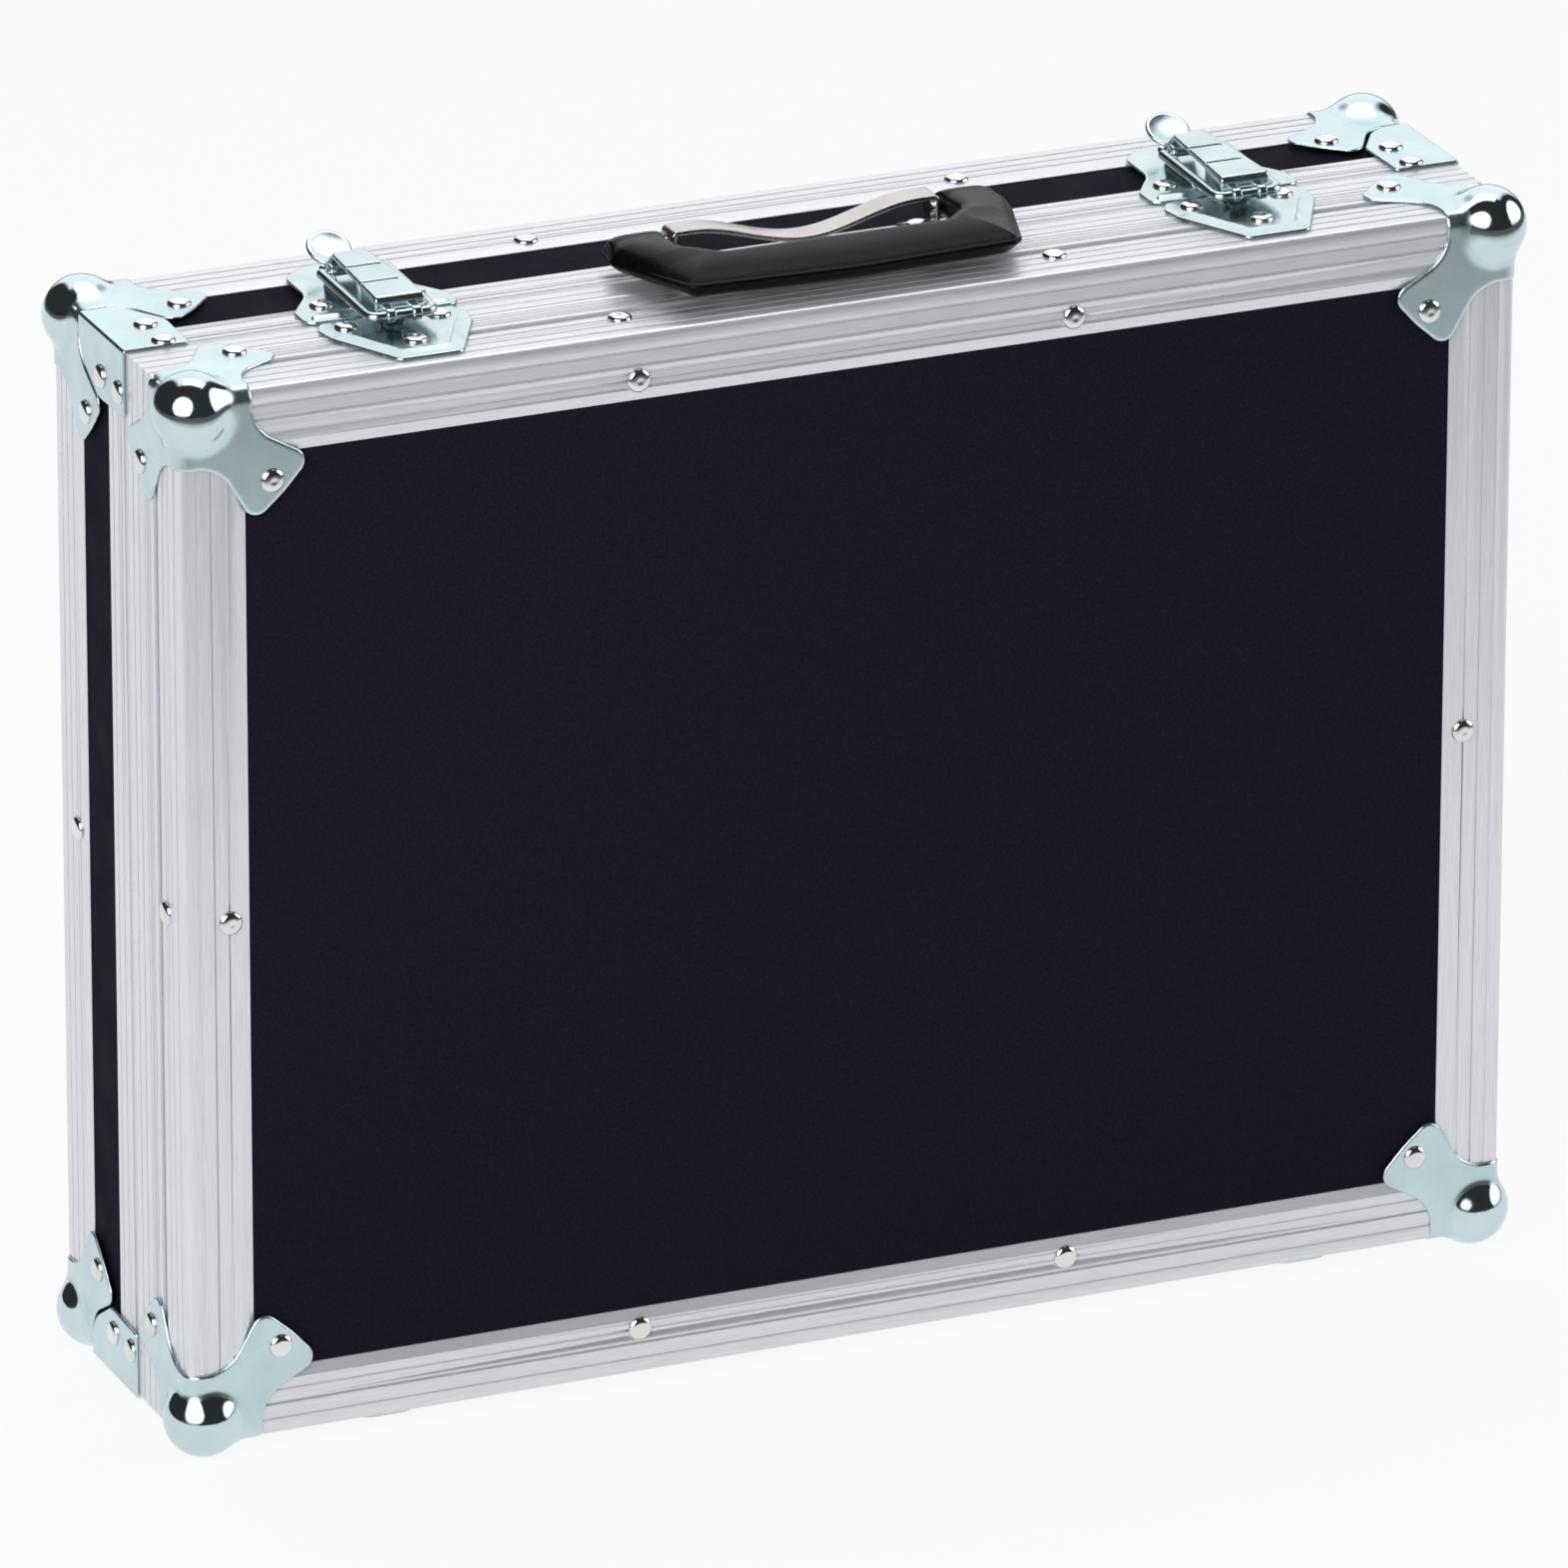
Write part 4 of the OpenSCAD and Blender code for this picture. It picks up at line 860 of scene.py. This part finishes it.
points, faces = egg_crate("lid_foam")
lining = shape("egg_crate_lining", points, faces, "lid", foam, "foam", "lid_foam")
print("lining:", len(faces), "faces")

# %% [markdown]
# The floor and the background are plain white, and the metal mirrors a studio. Making them
# white with strong lamps would also bleach the case. So each of them has three looks: a soft
# one that lights the case, a white one that the camera sees, and one for the rays that metal
# mirrors. The type of a ray picks the look.

# %% Rays
def choose(tree, fac, first, second):
    """A mix of two shaders: the first where fac is 0 and the second where it is 1."""
    mix = add(tree, "ShaderNodeMixShader")
    tree.links.new(fac, mix.inputs[0])
    tree.links.new(first, mix.inputs[1])
    tree.links.new(second, mix.inputs[2])
    return mix.outputs[0]

def shown(tree, soft, direct, mirrored, share):
    """Soft for light on its way, direct for the camera's rays and mirrored for metal."""
    path = add(tree, "ShaderNodeLightPath")
    total = path.outputs["Is Camera Ray"]
    for name in ("Is Glossy Ray", "Is Transmission Ray"):
        both = add(tree, "ShaderNodeMath", operation="MAXIMUM")
        tree.links.new(total, both.inputs[0])
        tree.links.new(path.outputs[name], both.inputs[1])
        total = both.outputs[0]
    part = add(tree, "ShaderNodeMath", operation="MULTIPLY")
    part.inputs[1].default_value = share
    tree.links.new(total, part.inputs[0])
    seen = choose(tree, path.outputs["Is Glossy Ray"], direct, mirrored)
    return choose(tree, part.outputs[0], soft, seen)
print("ray helpers ready")

# %% [markdown]
# The case stands on a white table in a darker room. To the camera the floor is almost pure
# white, but a small share of its own shading is kept, so that the case has a shadow. What
# the metal mirrors is white up to about half a metre in front of the lid and dark from about
# a metre and a quarter, which draws the dark line below each rounded edge. The fade is a
# gradient around a point behind the case, with its reach to the side and to the front.

# %% Floor
FLOOR_HALF, KEPT_SHADOW = 12.0, 0.12
FADE_X, FADE_Y, FADE_BEHIND = 4.0, 3.2, 1.0
floor_material = bpy.data.materials.new("floor")
floor_material.use_nodes = True
tree = floor_material.node_tree
tree.nodes.clear()
paper = add(tree, "ShaderNodeBsdfDiffuse", Color=(0.9, 0.9, 0.9, 1))
glow = add(tree, "ShaderNodeEmission", Strength=1.0)
far = add(tree, "ShaderNodeTexGradient", gradient_type="SPHERICAL")
table = add(tree, "ShaderNodeEmission")
tree.links.new(coordinates(tree, (1 / FADE_X, 1 / FADE_Y, 1), (0, -FADE_BEHIND / FADE_Y, 0)),
               far.inputs[0])
tree.links.new(ramp(tree, far.outputs["Fac"], 0.06, 0.93, 0.28, 0.52), table.inputs["Strength"])
out = add(tree, "ShaderNodeOutputMaterial")
tree.links.new(shown(tree, paper.outputs[0], glow.outputs[0], table.outputs[0],
                     1 - KEPT_SHADOW), out.inputs["Surface"])
floor_mesh = bpy.data.meshes.new("floor")
floor_mesh.from_pydata([(x * FLOOR_HALF, y * FLOOR_HALF, 0)
                        for x, y in ((-1, -1), (1, -1), (1, 1), (-1, 1))], [], [(0, 1, 2, 3)])
floor_mesh.materials.append(floor_material)
floor = bpy.data.objects.new("floor", floor_mesh)
scene.collection.objects.link(floor)
print("floor ready")

# %% [markdown]
# Chrome looks like chrome only when it has something dark to mirror. The mirrored room is a
# dark studio: white paper hangs behind the case and on over it, as wide as the camera needs,
# and two white softboxes stand in front, which make the bright spots on balls and rivets.
# Large lit cards could stand in the scene, but they would also light it. So each softbox is
# a direction in the world: the closer a ray is to it, the paler the room. Near the horizon
# the room falls dark again.

# %% Room
world = bpy.data.worlds.new("studio")
scene.world = world
world.use_nodes = True
tree = world.node_tree
tree.nodes.clear()
white = add(tree, "ShaderNodeBackground", Color=(1, 1, 1, 1), Strength=1.0)
soft = add(tree, "ShaderNodeBackground", Color=(0.94, 0.97, 1, 1), Strength=0.55)
room = add(tree, "ShaderNodeBackground", Color=(1, 1, 1, 1))
where = add(tree, "ShaderNodeTexCoord")

def combined(kind, first, second=None):
    """A math node fed by one or two values."""
    node = add(tree, "ShaderNodeMath", operation=kind)
    tree.links.new(first, node.inputs[0])
    if second:
        tree.links.new(second, node.inputs[1])
    return node.outputs[0]

def facing(way):
    """How far a ray points along a direction: 1 along it and 0 across it."""
    product = add(tree, "ShaderNodeVectorMath", operation="DOT_PRODUCT")
    product.inputs[1].default_value = way
    tree.links.new(where.outputs["Generated"], product.inputs[0])
    return product.outputs["Value"]

PAPER_WHITE, BOX_WHITE, ROOM_DARK = 1.18, 1.7, 0.03
BEHIND, SIDEWAYS, UP = (0.392, 0.92, 0), (0.92, -0.392, 0), (0, 0, 1)
SOFTBOXES = (-0.651, -0.599, 0.464), (0.93, -0.2, 0.28)
paper_width = ramp(tree, combined("ABSOLUTE", facing(SIDEWAYS)), 1.0, 0.0, 0.4, 0.5)
paper_reach = ramp(tree, facing(BEHIND), 0.0, PAPER_WHITE, 0.12, 0.26)
backdrop = combined("MULTIPLY", paper_width, paper_reach)
boxes = combined("MAXIMUM", *(ramp(tree, facing(way), 0.0, BOX_WHITE, 0.86, 0.89)
                              for way in SOFTBOXES))
horizon = ramp(tree, facing(UP), 0.1, 1.0, 0.0, 0.12)
seen = combined("MULTIPLY", combined("MAXIMUM", backdrop, boxes), horizon)
dim_room = add(tree, "ShaderNodeMath", operation="ADD")
dim_room.inputs[1].default_value = ROOM_DARK
tree.links.new(seen, dim_room.inputs[0])
tree.links.new(dim_room.outputs[0], room.inputs["Strength"])
out = add(tree, "ShaderNodeOutputWorld")
tree.links.new(shown(tree, soft.outputs[0], white.outputs[0], room.outputs[0], 1.0),
               out.inputs["Surface"])
print("mirrored room ready")

# %% [markdown]
# Three soft lamps light the case at a plain level, at which colours come out as they are
# written: one above, a large one at the left front and a small one at the right. Both front
# lamps stand in the directions of the mirrored softboxes, so shading and mirrored light agree.

# %% Lamps
CASE_MIDDLE = Vector((0, 0, 0.18))

def lamp(name, place, size, power):
    """A lamp that looks at the case's middle, with its size in metres and power in watts."""
    data = bpy.data.lights.new(name, "AREA")
    data.shape = "RECTANGLE"
    data.size, data.size_y = size
    data.energy = power
    item = bpy.data.objects.new(name, data)
    scene.collection.objects.link(item)
    item.location = place
    item.rotation_mode = "QUATERNION"
    item.rotation_quaternion = (CASE_MIDDLE - Vector(place)).to_track_quat("-Z", "Y")

lamp("top_lamp", (0.25, 0.45, 2.25), (1.6, 0.9), 8)
lamp("left_lamp", (-1.56, -1.44, 1.31), (1.5, 1.5), 22)
lamp("right_lamp", (2.23, -0.48, 0.87), (0.8, 0.8), 5)
scene.view_settings.view_transform = "Standard"
print("three lamps ready")
